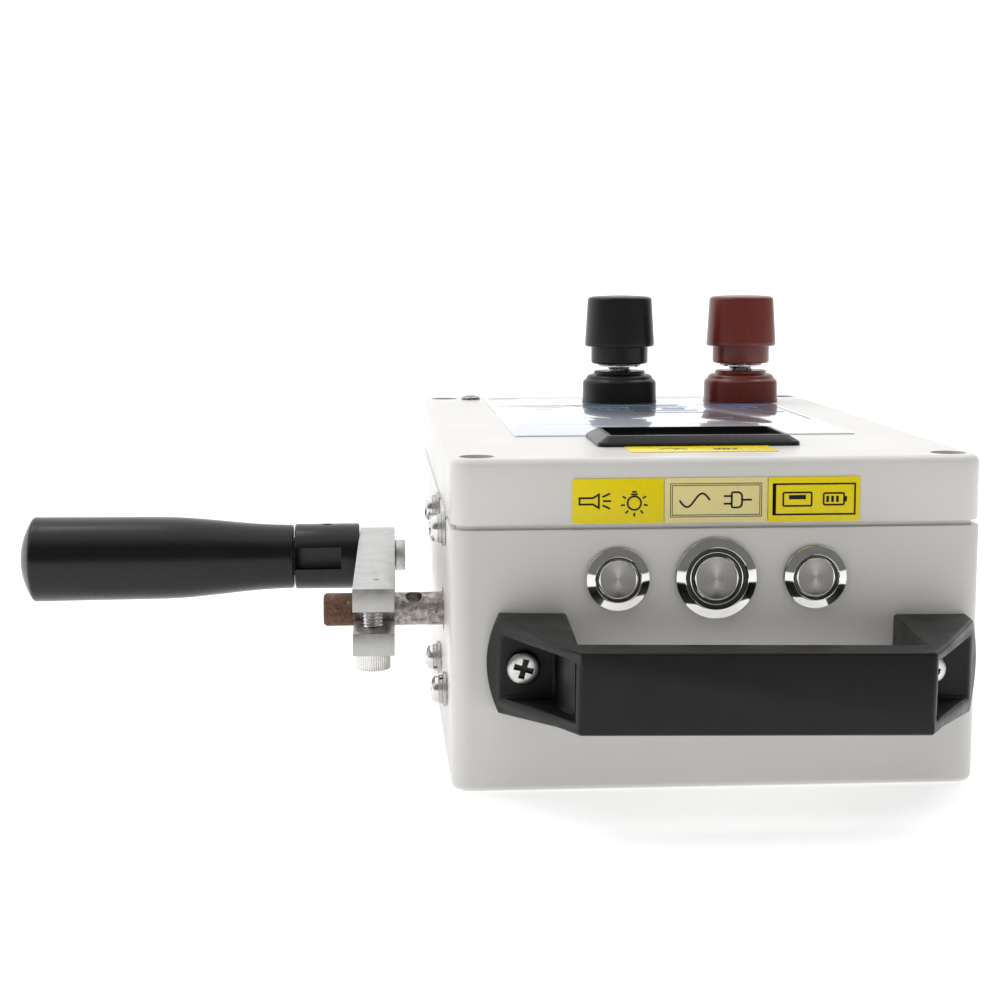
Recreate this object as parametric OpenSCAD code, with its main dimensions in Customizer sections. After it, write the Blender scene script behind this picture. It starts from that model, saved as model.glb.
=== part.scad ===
// Portable hand-crank generator box with carry handle, three switches, panel meter and two binding posts.
// Millimetres. Origin at the centre of the flat underside, +Z up, switches face -Y, crank on the -X side.

/* [Case] */
// Width of the case, left to right
case_w = 120; // [116:1:130]
// Length of the case, front to back
case_l = 200; // [196:1:220]
// Height of the closed case
case_h = 75; // [75:0.5:80]
// Height of the seam between base and lid
seam_z = 59.2; // [58.8:0.1:59.6]
// Width of the groove left open at the seam
seam_gap = 1.1; // [0.9:0.1:1.4]
// Thickness of walls, floor and lid
wall = 3; // [2.8:0.1:3]
// Radius of the upright corners
corner_r = 5; // [4.5:0.5:6]

/* [Front] */
// Height of the switches above the table
switch_z = 48.2; // [47:0.1:49]
// Switch centres from left to right: lamp, mains outlet, charging socket
switch_x = [-22.7, -0.7, 21.6];
// Travel of the two small buttons
small_travel = 2.5; // [1.5:0.1:2.5]
// Travel of the middle button
main_travel = 3; // [2:0.1:3]
// Sideways offset of the carry handle
carry_x = 2.6; // [0:0.2:3]
// Height of the carry handle's middle line
carry_z = 29.15; // [28:0.05:30]
// Tilt of the carry handle, right end down
carry_tilt = 0.95; // [0:0.05:1]
// How far the carry handle stands off the case
carry_out = 34.5; // [30:0.5:38]

/* [Crank] */
// Crank shaft position along the case
shaft_y = -56.5; // [-57:0.1:-56]
// Crank shaft height
shaft_z = 34.5; // [34:0.1:35]
// Radius of the crank shaft
shaft_r = 4; // [3.8:0.1:4]
// Distance from the shaft to the grip's axis
crank_r = 77.5; // [72:0.5:80]
// Largest diameter of the grip
grip_d = 23.5; // [22:0.5:24]
// Length of the turning grip
grip_l = 75.4; // [72:0.2:80]

/* [Posts] */
// Binding post centres, left and right
post_x = [-0.8, 36.6];
// Distance of the binding posts behind the middle
post_y = 72; // [70:0.5:76]

/* [Hidden] */
$fn = 64;
eps = 0.5;

// Case
half_w = case_w / 2;
half_l = case_l / 2;
lid_z = seam_z + seam_gap;
top_in = case_h - wall;
rebate_z = seam_z - 2.2;
lip_in = wall - 1.4;
lid_screw_x = half_w - 6.5;
lid_screw_y = half_l - 7.5;
lid_screw_r = 1.75;
recess_z = case_h - 8;
board_z = 26;
board_post_x = 44;
board_post_y = [22, 74];

// Fasteners: radial clearance of a shank in its hole
play = 0.05;
m4_r = 1.95;
m3_r = 1.25;
nut_r = 4.04;

// Front
small_hole_r = 6.1;
main_hole_r = 8.1;
carry_h = [17.8, 22];
carry_hollow = [12.8, 14.1];
carry_bar = 8;
carry_bar_x = 37.2;
carry_leg_x = 36.8;
carry_foot_x = [54.5, 55.8];
carry_hole_x = [46.9, 43.4];
carry_plate = 6.5;

// Gearbox
wall_screw_y = [-75.5, -37.5];
wall_screw_z = [18.6, 56.6];
plate_t = 4;
outer_x = -half_w + wall;
inner_x = -36;
plate_lo = -80.5;
plate_hi = 6;
plate_z = [12.5, 60.5];
bearing_r = 8;
gear_m = 0.8;
gear_pa = 25;
gear_play = 0.06;
crank_teeth = 48;
pinion_teeth = 12;
idler_teeth = 30;
idler_y = shaft_y + (crank_teeth + pinion_teeth) * gear_m / 2;
rotor_y = idler_y + (idler_teeth + pinion_teeth) * gear_m / 2;
idler_r = 2;
rotor_r = 2;
can_r = 20;
can_x = [inner_x + plate_t, 14];

// Crank
arm_w = 9.7;
arm_x = -81.7;
arm_skew = 0.9;
arm_l = 107.5;
arm_y = shaft_y - 22;
arm_z = [27.25, 43];
slit_z = [32.5, 37.6];
grip_y = shaft_y + crank_r;
grip_z = 36.1;
block_r = 9.1;
block_x = [-98.2, -80.28];
bolt_x = -70.35;
pin_x = -89.3;
pin_r = 1.5;
tang_r = 3.6;
tang_h = 2.8;
tang_z = grip_z + 0.5;
grip_x = -98.55;
neck_r = 8.9;
dome_r = 20.7;
dome_edge = 10.9;
spindle_r = 3;
clamp_y = shaft_y - 11.7;
clamp_x = -77;

// Posts
stud_r = 3.5;
collar_z = 86.8;
cap_z = 92.1;
knob_z = 107.5;

// Meter
meter = [48, 29];
meter_y = -59.1;

// Back
lamp_x = -34;
outlet_x = 8;
usb_x = 38;
back_z = 32;

case_white = [0.86, 0.85, 0.82];
satin_black = [0.09, 0.09, 0.095];
nickel = [0.72, 0.71, 0.69];
zinc = [0.62, 0.62, 0.6];

// ---- shared shapes ----

module round_rect(w, l, r) {
    square([w - 2 * r, l], center = true);
    square([w, l - 2 * r], center = true);
    for (x = [-1, 1], y = [-1, 1])
        translate([x * (w / 2 - r), y * (l / 2 - r)]) circle(r);
}

module slab(w, l, r, z0, z1) translate([0, 0, z0]) linear_extrude(z1 - z0) round_rect(w, l, r);

module rod_x(x0, x1, r, y, z) translate([x0, y, z]) rotate([0, 90, 0]) cylinder(h = x1 - x0, r = r);

module rod_y(y0, y1, r, x, z) translate([x, y0, z]) rotate([-90, 0, 0]) cylinder(h = y1 - y0, r = r);

module rod_z(z0, z1, r, x, y) translate([x, y, z0]) cylinder(h = z1 - z0, r = r);

module box(lo, hi) translate(lo) cube(hi - lo);

module ring(h, r_out, r_in) difference() {
    cylinder(h = h, r = r_out);
    translate([0, 0, -eps]) cylinder(h = h + 2 * eps, r = r_in);
}

// Pan-head screw standing on z = 0 with its shank below
module pan_screw(head_r, head_h, shank_r, shank_l) {
    difference() {
        union() {
            cylinder(h = head_h * 0.55, r = head_r);
            translate([0, 0, head_h * 0.55]) cylinder(h = head_h * 0.45, r1 = head_r, r2 = head_r * 0.78);
        }
        for (a = [0, 90]) rotate(a)
            translate([-head_r * 0.58, -head_r * 0.13, head_h * 0.4])
                cube([head_r * 1.16, head_r * 0.26, head_h]);
    }
    translate([0, 0, -shank_l]) cylinder(h = shank_l + 0.01, r = shank_r);
}

module at_lid_corners() for (x = [-1, 1], y = [-1, 1])
    translate([x * lid_screw_x, y * lid_screw_y, 0]) children();

module at_board_posts() for (x = [-1, 1], y = board_post_y) translate([x * board_post_x, y, 0]) children();

module at_wall_screws() for (y = wall_screw_y, z = wall_screw_z)
    translate([-half_w, y, z]) rotate([0, -90, 0]) children();

module at_switches(xs) for (x = xs) translate([x, -half_l, switch_z]) rotate([90, 0, 0]) children();

module at_posts(xs) for (x = xs) translate([x, post_y, case_h]) children();

module at_carry() translate([carry_x, 0, carry_z]) rotate([0, carry_tilt, 0]) children();

module at_carry_screws() at_carry() for (x = [-carry_hole_x[0], carry_hole_x[1]])
    translate([x, -half_l, 0]) rotate([90, 0, 0]) children();

// ---- gears: a tooth points along +Y, axes run along X ----

function inv_deg(a) = tan(a) * 180 / PI - a;

function polar(r, a) = [r * cos(a), r * sin(a)];

function gear_points(n, steps = 4) =
    let (rp = n * gear_m / 2, rb = rp * cos(gear_pa), root = rp - 1.15 * gear_m, tip = rp + 0.9 * gear_m,
         start = max(root, rb), half = 90 / n - gear_play / rp * 90 / PI + inv_deg(gear_pa))
    [for (i = [0:n - 1]) let (mid = i * 360 / n) each concat(
        root < rb ? [polar(root, mid - half)] : [],
        [for (k = [0:steps]) let (r = start + (tip - start) * k / steps)
            polar(r, mid - half + inv_deg(acos(min(1, rb / r))))],
        [for (k = [steps:-1:0]) let (r = start + (tip - start) * k / steps)
            polar(r, mid + half - inv_deg(acos(min(1, rb / r))))],
        root < rb ? [polar(root, mid + half)] : [])];

module gear(n, x0, x1, y, turn = 0) translate([x0, y, shaft_z]) rotate([90, 0, 90])
    linear_extrude(x1 - x0) rotate(turn) polygon(gear_points(n));

// ---- case ----

module base_case() color(case_white) difference() {
    union() {
        difference() {
            slab(case_w, case_l, corner_r, 0, seam_z);
            slab(case_w - 2 * wall, case_l - 2 * wall, corner_r - wall + 1, wall, seam_z + eps);
        }
        at_lid_corners() cylinder(h = rebate_z, r = 5);
        at_board_posts() cylinder(h = board_z, r = 3.5);
    }
    slab(case_w - 2 * lip_in, case_l - 2 * lip_in, corner_r - lip_in, rebate_z, seam_z + eps);
    at_lid_corners() translate([0, 0, 38]) cylinder(h = 30, r = lid_screw_r + play);
    at_board_posts() translate([0, 0, board_z - 10]) cylinder(h = 20, r = m3_r + play);
    at_switches([switch_x[0], switch_x[2]]) translate([0, 0, -10]) cylinder(h = 20, r = small_hole_r);
    at_switches([switch_x[1]]) translate([0, 0, -10]) cylinder(h = 20, r = main_hole_r);
    at_carry_screws() translate([0, 0, -10]) cylinder(h = 20, r = m4_r + 0.1);
    at_carry_screws() translate([0, 0, -wall - 5]) cylinder(h = 5, r = nut_r + 0.6);
    at_wall_screws() translate([0, 0, -10]) cylinder(h = 20, r = m4_r + 0.1);
    rod_x(-half_w - eps, outer_x + eps, 5.3, shaft_y, shaft_z);
    rod_y(half_l - 2 * wall, half_l + eps, 12.2, lamp_x, back_z);
    box([outlet_x - 14, half_l - 2 * wall, back_z - 10.5], [outlet_x + 14, half_l + eps, back_z + 10.5]);
    box([usb_x - 8, half_l - 2 * wall, back_z - 9], [usb_x + 8, half_l + eps, back_z + 9]);
}

module lid_cover() color(case_white) difference() {
    union() {
        difference() {
            slab(case_w, case_l, corner_r, lid_z, case_h);
            slab(case_w - 2 * wall, case_l - 2 * wall, corner_r - wall + 1, lid_z - eps, top_in);
        }
        difference() {
            slab(case_w - 2 * lip_in - 0.2, case_l - 2 * lip_in - 0.2, corner_r - lip_in, rebate_z + 0.7, lid_z + 1);
            slab(case_w - 2 * wall, case_l - 2 * wall, corner_r - wall + 1, rebate_z, lid_z + 2);
        }
        intersection() {
            at_lid_corners() translate([0, 0, rebate_z + 0.7]) cylinder(h = case_h - rebate_z - 1, r = 5.5);
            slab(case_w - 2 * lip_in - 0.2, case_l - 2 * lip_in - 0.2, corner_r - lip_in, rebate_z, case_h);
        }
    }
    at_lid_corners() translate([0, 0, recess_z]) cylinder(h = 20, r = 4);
    at_lid_corners() translate([0, 0, 50]) cylinder(h = 20, r = lid_screw_r + 0.2);
    slab_at_meter(meter[0] - 2.6, meter[1] - 2.6, top_in - eps, case_h + eps);
    at_posts(post_x) translate([0, 0, -10]) cylinder(h = 20, r = 5.1);
    rod_z(top_in - eps, case_h + eps, m3_r + play, -45.5, 88);
    at_wall_screws() translate([0, 0, -10]) cylinder(h = 9, r = m4_r + 0.5);
}

module slab_at_meter(w, l, z0, z1) box([-w / 2, meter_y - l / 2, z0], [w / 2, meter_y + l / 2, z1]);

module lid_gasket() color([0.2, 0.2, 0.2]) difference() {
    slab(case_w - 2 * lip_in - 0.2, case_l - 2 * lip_in - 0.2, corner_r - lip_in, rebate_z, rebate_z + 0.7);
    slab(case_w - 2 * wall, case_l - 2 * wall, corner_r - wall + 1, rebate_z - 1, rebate_z + 2);
    at_lid_corners() translate([0, 0, 50]) cylinder(h = 20, r = 2.4);
    at_wall_screws() translate([0, 0, -10]) cylinder(h = 9, r = m4_r + 0.5);
}

module lid_screws() color(nickel) at_lid_corners()
    translate([0, 0, recess_z]) pan_screw(3.6, 2.4, lid_screw_r, recess_z - 40);

module panel_screw() color([0.35, 0.34, 0.33])
    translate([-45.5, 88, case_h]) pan_screw(2.9, 1.3, m3_r, 8);

module labels() {
    front = -half_l;
    color([0.98, 0.85, 0.1]) box([-32.8, front - 0.15, 60.6], [-12.5, front, 70.6]);
    color([0.93, 0.9, 0.75]) box([-12.3, front - 0.15, 60.6], [10.7, front, 70.6]);
    color([0.98, 0.85, 0.1]) box([10.9, front - 0.15, 60.6], [31.6, front, 70.6]);
    color([0.98, 0.85, 0.1]) box([-18, -87, case_h], [16, meter_y - meter[1] / 2 - 0.3, case_h + 0.15]);
}

module top_sheet() color([0.85, 0.9, 0.95]) difference() {
    box([-41.5, meter_y + meter[1] / 2 + 0.3, case_h], [44, 88, case_h + 0.25]);
    at_posts(post_x) translate([0, 0, -1]) cylinder(h = 3, r = 11.4);
}

// ---- carry handle ----

// Side profile whose height changes evenly from the bar to the foot
module carry_side(heights) translate([-70, 0, 0]) rotate([90, 0, 90]) linear_extrude(140)
    let (back = -half_l - carry_out + carry_bar, bar = heights[0] / 2, foot = heights[1] / 2)
    polygon([[-half_l, foot], [back, bar], [back - carry_bar, bar],
             [back - carry_bar, -bar], [back, -bar], [-half_l, -foot]]);

module carry_plan(points) translate([0, 0, -carry_h[1]]) linear_extrude(2 * carry_h[1]) polygon(points);

// Hollow left leg, open on its sloping outer side
module carry_leg(out, hole_x) let (front = -half_l - carry_out) difference() {
    intersection() {
        carry_side(carry_h);
        carry_plan([[-carry_bar_x, front], [-out, -half_l - 1.5], [-out, -half_l],
                    [-carry_leg_x, -half_l], [-carry_leg_x, front]]);
        rod_y(front - 1, 0, 24, 24 - out, 0);
    }
    intersection() {
        carry_side(carry_hollow);
        carry_plan([[-70, -half_l - carry_plate], [-39.6, -half_l - carry_plate], [-39.2, front + 14.5],
                    [-37.4, front + 6.5], [-37, front + 3], [-37.8, front + 2], [-70, front + 2]]);
    }
    rod_y(-half_l - 20, -half_l + 1, m4_r + 0.1, -hole_x, 0);
}

module carry_handle() color(satin_black) at_carry() {
    translate([0, -half_l - carry_out + carry_bar / 2, 0])
        cube([2 * carry_leg_x, carry_bar, carry_h[0]], center = true);
    for (side = [0, 1]) mirror([side, 0, 0]) carry_leg(carry_foot_x[side], carry_hole_x[side]);
}

module handle_screws() color(nickel) at_carry_screws()
    translate([0, 0, carry_plate]) pan_screw(3.7, 2.3, m4_r, 15.5);

module handle_nuts() color(zinc) at_carry_screws() translate([0, 0, -wall - 3.2]) difference() {
    cylinder(h = 3.2, r = nut_r, $fn = 6);
    translate([0, 0, -eps]) cylinder(h = 5, r = m4_r);
}

// ---- switches, drawn pointing out of the front face ----

module switch_body(flange_r, thread_r, ring_r, button_r, depth, travel) difference() {
    union() {
        translate([0, 0, 0.6]) cylinder(h = 0.7, r = flange_r);
        translate([0, 0, 1.3]) cylinder(h = 0.9, r1 = flange_r, r2 = ring_r + 0.2);
        translate([0, 0, -depth + 5]) cylinder(h = depth - 4, r = thread_r);
        translate([0, 0, -depth]) cylinder(h = 5.01, r = thread_r * 0.8);
        for (x = [-2.2, 2.2]) translate([x - 0.3, -1.2, -depth - 4]) cube([0.6, 2.4, 4.5]);
    }
    translate([0, 0, 1.2]) cylinder(h = 5, r = ring_r);
    translate([0, 0, -travel - 1]) cylinder(h = 10, r = button_r + 0.1);
}

module switch_button(button_r) {
    translate([0, 0, -0.6]) cylinder(h = 1.9, r = button_r);
    translate([0, 0, 1.3]) cylinder(h = 0.3, r1 = button_r, r2 = button_r - 0.35);
}

module small_switch_bodies() color(nickel) at_switches([switch_x[0], switch_x[2]])
    switch_body(7.1, 5.95, 5.1, 4.45, 20, small_travel);

module main_switch_body() color(nickel) at_switches([switch_x[1]])
    switch_body(9.1, 7.95, 6.95, 5.05, 24, main_travel);

module light_button() color([0.45, 0.44, 0.43]) at_switches([switch_x[0]]) switch_button(4.4);

module main_button() color([0.45, 0.44, 0.43]) at_switches([switch_x[1]]) switch_button(5);

module usb_button() color([0.45, 0.44, 0.43]) at_switches([switch_x[2]]) switch_button(4.4);

module switch_nut(thread_r, flats) translate([0, 0, -wall - 2]) difference() {
    cylinder(h = 2, r = flats / 2 / cos(30), $fn = 6);
    translate([0, 0, -eps]) cylinder(h = 3, r = thread_r);
}

module switch_nuts() color(nickel) {
    at_switches([switch_x[0], switch_x[2]]) switch_nut(5.95, 14);
    at_switches([switch_x[1]]) switch_nut(7.95, 19);
}

module switch_seals() color([0.1, 0.1, 0.1]) {
    at_switches([switch_x[0], switch_x[2]]) ring(0.6, 7, 5.95);
    at_switches([switch_x[1]]) ring(0.6, 9, 7.95);
}

// ---- panel meter ----

module meter_housing() color(satin_black) difference() {
    union() {
        slab_at_meter(meter[0], meter[1], case_h, case_h + 2.5);
        slab_at_meter(meter[0] - 3, meter[1] - 3, case_h - 20, case_h + 0.1);
    }
    slab_at_meter(meter[0] - 7, meter[1] - 7, case_h - 18.5, case_h + 3);
}

module meter_window() color([0.12, 0.02, 0.02, 0.6])
    slab_at_meter(meter[0] - 7.1, meter[1] - 7.1, case_h - 0.4, case_h + 1.2);

module meter_board() color([0.1, 0.35, 0.2]) {
    slab_at_meter(meter[0] - 7.4, meter[1] - 7.4, case_h - 8, case_h - 6.4);
    slab_at_meter(36, 15, case_h - 6.5, case_h - 0.6);
    for (x = [-15, 0, 15]) box([x - 2, meter_y - 3, case_h - 11], [x + 2, meter_y + 3, case_h - 7.9]);
}

// ---- binding posts, drawn standing on z = 0 at the lid's top ----

module post_base() difference() {
    union() {
        translate([0, 0, -5]) cylinder(h = 5.1, r = 5);
        cylinder(h = 7, r = 11.25);
        translate([0, 0, 7]) cylinder(h = 1.6, r1 = 10.6, r2 = 9);
        translate([0, 0, 8.5]) cylinder(h = 1.2, r = 7.75);
    }
    translate([0, 0, -10]) cylinder(h = 30, r = stud_r);
}

module post_knob() difference() {
    union() {
        translate([0, 0, collar_z - case_h]) cylinder(h = cap_z - collar_z + 0.1, r = 8.6);
        translate([0, 0, cap_z - case_h]) cylinder(h = knob_z - cap_z - 1, r1 = 10.5, r2 = 9.6);
        translate([0, 0, knob_z - case_h - 1]) cylinder(h = 1, r1 = 9.6, r2 = 8.6);
    }
    translate([0, 0, collar_z - case_h - 1]) cylinder(h = 20, r = stud_r + 0.08);
}

module post_washer() translate([0, 0, collar_z - case_h - 0.8]) ring(0.7, 6.5, stud_r + 0.25);

module black_post_base() color([0.08, 0.08, 0.08]) at_posts([post_x[0]]) post_base();

module red_post_base() color([0.45, 0.08, 0.04]) at_posts([post_x[1]]) post_base();

module black_knob() color([0.08, 0.08, 0.08]) at_posts([post_x[0]]) post_knob();

module red_knob() color([0.45, 0.08, 0.04]) at_posts([post_x[1]]) post_knob();

module black_washer() color(zinc) at_posts([post_x[0]]) post_washer();

module red_washer() color(zinc) at_posts([post_x[1]]) post_washer();

module post_studs() color([0.7, 0.6, 0.4]) at_posts(post_x) translate([0, 0, -22]) cylinder(h = 50.5, r = stud_r);

module post_nuts() color([0.7, 0.6, 0.4]) at_posts(post_x) for (z = [-10.1, -15.2]) translate([0, 0, z])
    difference() {
        cylinder(h = 5, r = 6.35, $fn = 6);
        translate([0, 0, -eps]) cylinder(h = 6, r = stud_r);
    }

// ---- crank ----

module crank_shaft() color([0.5, 0.42, 0.36]) difference() {
    union() {
        rod_x(-88.1, inner_x + plate_t, shaft_r, shaft_y, shaft_z);
        translate([-88.1, shaft_y, shaft_z]) rotate([0, -90, 0]) cylinder(h = 0.7, r1 = shaft_r, r2 = shaft_r - 0.5);
    }
    translate([-67, shaft_y, shaft_z]) rotate([30, 0, 0]) cylinder(h = 12, r = 2, center = true);
}

// Bar a little askew on its bores, slit and clamped at the shaft end
module crank_arm() color([0.8, 0.8, 0.79]) difference() {
    translate([arm_x, arm_y, arm_z[0]]) rotate(-arm_skew) cube([arm_w, arm_l, arm_z[1] - arm_z[0]]);
    rod_x(arm_x - 1, arm_x + arm_w + 3, shaft_r, shaft_y, shaft_z);
    box([arm_x - 1, arm_y - 1, slit_z[0]], [arm_x + arm_w + 3, shaft_y, slit_z[1]]);
    rod_z(arm_z[0] - 1, shaft_z, 2.7, clamp_x, clamp_y);
    rod_z(shaft_z, arm_z[1] - 1.5, 2.5, clamp_x, clamp_y);
    rod_z(arm_z[1] - 1, arm_z[1] + 1, 0.8, -76, -65);
    rod_x(arm_x - 1, arm_x + arm_w + 3, 3, grip_y, grip_z);
}

module clamp_screw() color(nickel) translate([clamp_x, clamp_y, arm_z[0]]) difference() {
    union() {
        translate([0, 0, -5.2]) cylinder(h = 5.2, r = 4.16);
        cylinder(h = 14, r = 2.5);
    }
    translate([0, 0, -6]) cylinder(h = 3.5, r = 2.3, $fn = 6);
}

module pivot_bolt() color(zinc) {
    rod_x(bolt_x, bolt_x + 2.8, 4.4, grip_y, grip_z);
    rod_x(-85.2, bolt_x + 0.1, 3, grip_y, grip_z);
}

// Cheeks rounded behind the pin to clear the folding grip; a web closes the front of the tang's slot
module pivot_block() color(satin_black) difference() {
    rod_x(block_x[0], block_x[1], block_r, grip_y, grip_z);
    for (y = [[-20, -tang_r - 1.7], [-tang_r - 0.3, 20]])
        box([block_x[0] - 1, grip_y + y[0], tang_z - tang_h - 0.2],
            [pin_x + 3.9, grip_y + y[1], tang_z + tang_h + 0.2]);
    difference() {
        box([block_x[0] - 1, grip_y, grip_z - 10], [pin_x + 8.5, grip_y + 20, grip_z + 10]);
        rod_z(grip_z - 12, grip_z + 12, 8.95, pin_x, grip_y);
    }
    box([pin_x, grip_y + 8.8, grip_z - 10], [block_x[1] + 1, grip_y + 20, grip_z + 10]);
    rod_z(grip_z - 12, grip_z + 12, pin_r, pin_x, grip_y);
    rod_x(-87.5, block_x[1] + 1, 3, grip_y, grip_z);
}

module fold_pin() color(zinc) rod_z(grip_z - 8.4, grip_z + 8.4, pin_r, pin_x, grip_y);

module grip_spindle() color(zinc) difference() {
    union() {
        rod_z(tang_z - tang_h, tang_z + tang_h, tang_r, pin_x, grip_y);
        box([grip_x - 1, grip_y - tang_r, tang_z - tang_h], [pin_x, grip_y + tang_r, tang_z + tang_h]);
        rod_x(grip_x - 3, grip_x - 0.4, 5.2, grip_y, grip_z);
        rod_x(grip_x - 64, grip_x - 2, spindle_r, grip_y, grip_z);
    }
    rod_z(tang_z - 5, tang_z + 5, pin_r + play, pin_x, grip_y);
}

// Radius of the grip at a distance from its inner end: a slim neck that swells and then runs nearly straight
function grip_radius(t) = t < 38 ? neck_r + (grip_d / 2 - 0.3 - neck_r) * (1 - cos(180 * t / 38)) / 2
    : grip_d / 2 - 0.3 + 0.3 * (t - 38) / (grip_l - 38);

// Profile ending in a shallow dome
function grip_profile() = concat(
    [[0, 0], [neck_r - 0.5, 0]],
    [for (t = [0.5:4.5:38]) [grip_radius(t), t]],
    [[grip_d / 2, grip_l - 4], [grip_d / 2 - 0.25, grip_l - 3.5]],
    [for (r = [dome_edge:-dome_edge / 6:1]) [r, grip_l - dome_r + sqrt(dome_r * dome_r - r * r)]],
    [[0, grip_l]]);

module crank_grip() color(satin_black) translate([grip_x, grip_y, grip_z]) rotate([0, -90, 0]) difference() {
    rotate_extrude() polygon(grip_profile());
    translate([0, 0, -1]) cylinder(h = 4.4, r = 5.5);
    cylinder(h = 65, r = spindle_r + 0.07);
    translate([0, 0, 58]) cylinder(h = 4, r = 5.2);
}

module grip_clip() color(zinc) translate([grip_x - 60.5, grip_y, grip_z]) rotate([0, 90, 0]) ring(1, 4.5, spindle_r);

// ---- gearbox ----

module wall_flat_washers() color(zinc) at_wall_screws() ring(0.8, 4.1, m4_r + 0.1);

module wall_lock_washers() color(zinc) at_wall_screws() translate([0, 0, 0.8]) difference() {
    ring(0.9, 3.4, m4_r + 0.1);
    translate([0, -0.35, -1]) cube([6, 0.7, 3]);
}

module wall_screws() color(nickel) at_wall_screws() translate([0, 0, 1.7]) pan_screw(3.1, 2.1, m4_r, 16);

module gear_plate(x0) difference() {
    box([x0, plate_lo, plate_z[0]], [x0 + plate_t, plate_hi, plate_z[1]]);
    rod_x(x0 - 1, x0 + plate_t + 1, bearing_r, shaft_y, shaft_z);
    rod_x(x0 - 1, x0 + plate_t + 1, idler_r, idler_y, shaft_z);
}

module outer_plate() color([0.75, 0.75, 0.74]) difference() {
    gear_plate(outer_x);
    box([outer_x - 1, plate_lo - 1, rebate_z - 0.3], [outer_x + 0.3, plate_hi + 1, plate_z[1] + 1]);
    for (y = wall_screw_y, z = wall_screw_z) rod_x(outer_x - 1, outer_x + plate_t + 1, m4_r + 0.1, y, z);
}

module at_motor_screws() for (z = [-12.5, 12.5]) translate([inner_x, rotor_y, shaft_z + z]) rotate([0, -90, 0])
    children();

module at_plate_screws() for (y = wall_screw_y, z = wall_screw_z)
    translate([inner_x + plate_t, y, z]) rotate([0, 90, 0]) children();

module inner_plate() color([0.75, 0.75, 0.74]) difference() {
    gear_plate(inner_x);
    rod_x(inner_x - 1, inner_x + plate_t + 1, 6.1, rotor_y, shaft_z);
    at_motor_screws() translate([0, 0, -10]) cylinder(h = 20, r = m3_r + 0.1);
    at_plate_screws() translate([0, 0, -10]) cylinder(h = 20, r = m3_r + 0.1);
}

module plate_pillars() color(zinc) for (y = wall_screw_y, z = wall_screw_z) difference() {
    rod_x(outer_x + plate_t, inner_x, 3.5, y, z);
    rod_x(outer_x, outer_x + plate_t + 8, m4_r + play, y, z);
    rod_x(inner_x - 7.5, inner_x + 1, m3_r + play, y, z);
}

module small_screws() color(nickel) {
    at_plate_screws() pan_screw(2.7, 1.9, m3_r, 10);
    at_motor_screws() pan_screw(2.7, 1.9, m3_r, 6);
    at_board_posts() translate([0, 0, board_z + 1.6]) pan_screw(2.7, 1.9, m3_r, 9);
}

module shaft_bearings() color([0.7, 0.7, 0.72]) for (x = [outer_x, inner_x])
    translate([x, shaft_y, shaft_z]) rotate([0, 90, 0]) difference() {
        ring(plate_t, bearing_r, shaft_r + 0.04);
        for (z = [-eps, plate_t - 0.5]) translate([0, 0, z]) ring(eps + 0.5, 6.8, 5.2);
    }

module crank_gear() color([0.75, 0.68, 0.45]) difference() {
    union() {
        gear(crank_teeth, -52, -46, shaft_y);
        rod_x(-46.1, -41, 7, shaft_y, shaft_z);
    }
    rod_x(-53, -40, shaft_r, shaft_y, shaft_z);
}

module idler_gear() color([0.85, 0.85, 0.8]) difference() {
    union() {
        gear(pinion_teeth, -52.6, -44.9, idler_y, 180 / pinion_teeth);
        gear(idler_teeth, -45, -39.5, idler_y);
        rod_x(-39.6, -36.3, 4, idler_y, shaft_z);
    }
    rod_x(-53, -36, idler_r + play, idler_y, shaft_z);
}

module idler_shaft() color(zinc) rod_x(outer_x + 0.2, inner_x + plate_t - 0.2, idler_r, idler_y, shaft_z);

module rotor_pinion() color([0.75, 0.68, 0.45]) difference() {
    gear(pinion_teeth, -45.6, -38.6, rotor_y, 180 / pinion_teeth);
    rod_x(-46, -38, rotor_r, rotor_y, shaft_z);
}

// ---- generator ----

module generator_can() color([0.6, 0.6, 0.62]) difference() {
    union() {
        rod_x(can_x[0], can_x[1], can_r, rotor_y, shaft_z);
        rod_x(can_x[0] - 2.5, can_x[0] + 1, 6, rotor_y, shaft_z);
    }
    rod_x(can_x[0] + 3, can_x[1] + 1, can_r - 1.5, rotor_y, shaft_z);
    rod_x(can_x[0] - 5, can_x[0] + 5, rotor_r + play, rotor_y, shaft_z);
    at_motor_screws() translate([0, 0, -10]) cylinder(h = 20, r = m3_r + play);
}

module generator_cap() color([0.15, 0.15, 0.15]) difference() {
    union() {
        rod_x(can_x[1], can_x[1] + 2.5, can_r, rotor_y, shaft_z);
        rod_x(can_x[1] - 2, can_x[1] + 0.1, can_r - 1.5, rotor_y, shaft_z);
        rod_x(can_x[1], can_x[1] + 5, 6, rotor_y, shaft_z);
        for (z = [-11, 11]) box([can_x[1], rotor_y - 1.5, shaft_z + z - 0.4],
                                [can_x[1] + 9, rotor_y + 1.5, shaft_z + z + 0.4]);
    }
    rod_x(can_x[1] - 3, can_x[1] + 3.5, rotor_r + play, rotor_y, shaft_z);
}

module generator_magnets() color([0.3, 0.3, 0.32]) difference() {
    rod_x(-26, 9, can_r - 1.5, rotor_y, shaft_z);
    rod_x(-27, 10, 14.4, rotor_y, shaft_z);
    box([-27, rotor_y - 25, shaft_z - 3], [10, rotor_y + 25, shaft_z + 3]);
}

module rotor_shaft() color(zinc) rod_x(-46.2, can_x[1] + 3, rotor_r, rotor_y, shaft_z);

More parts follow.
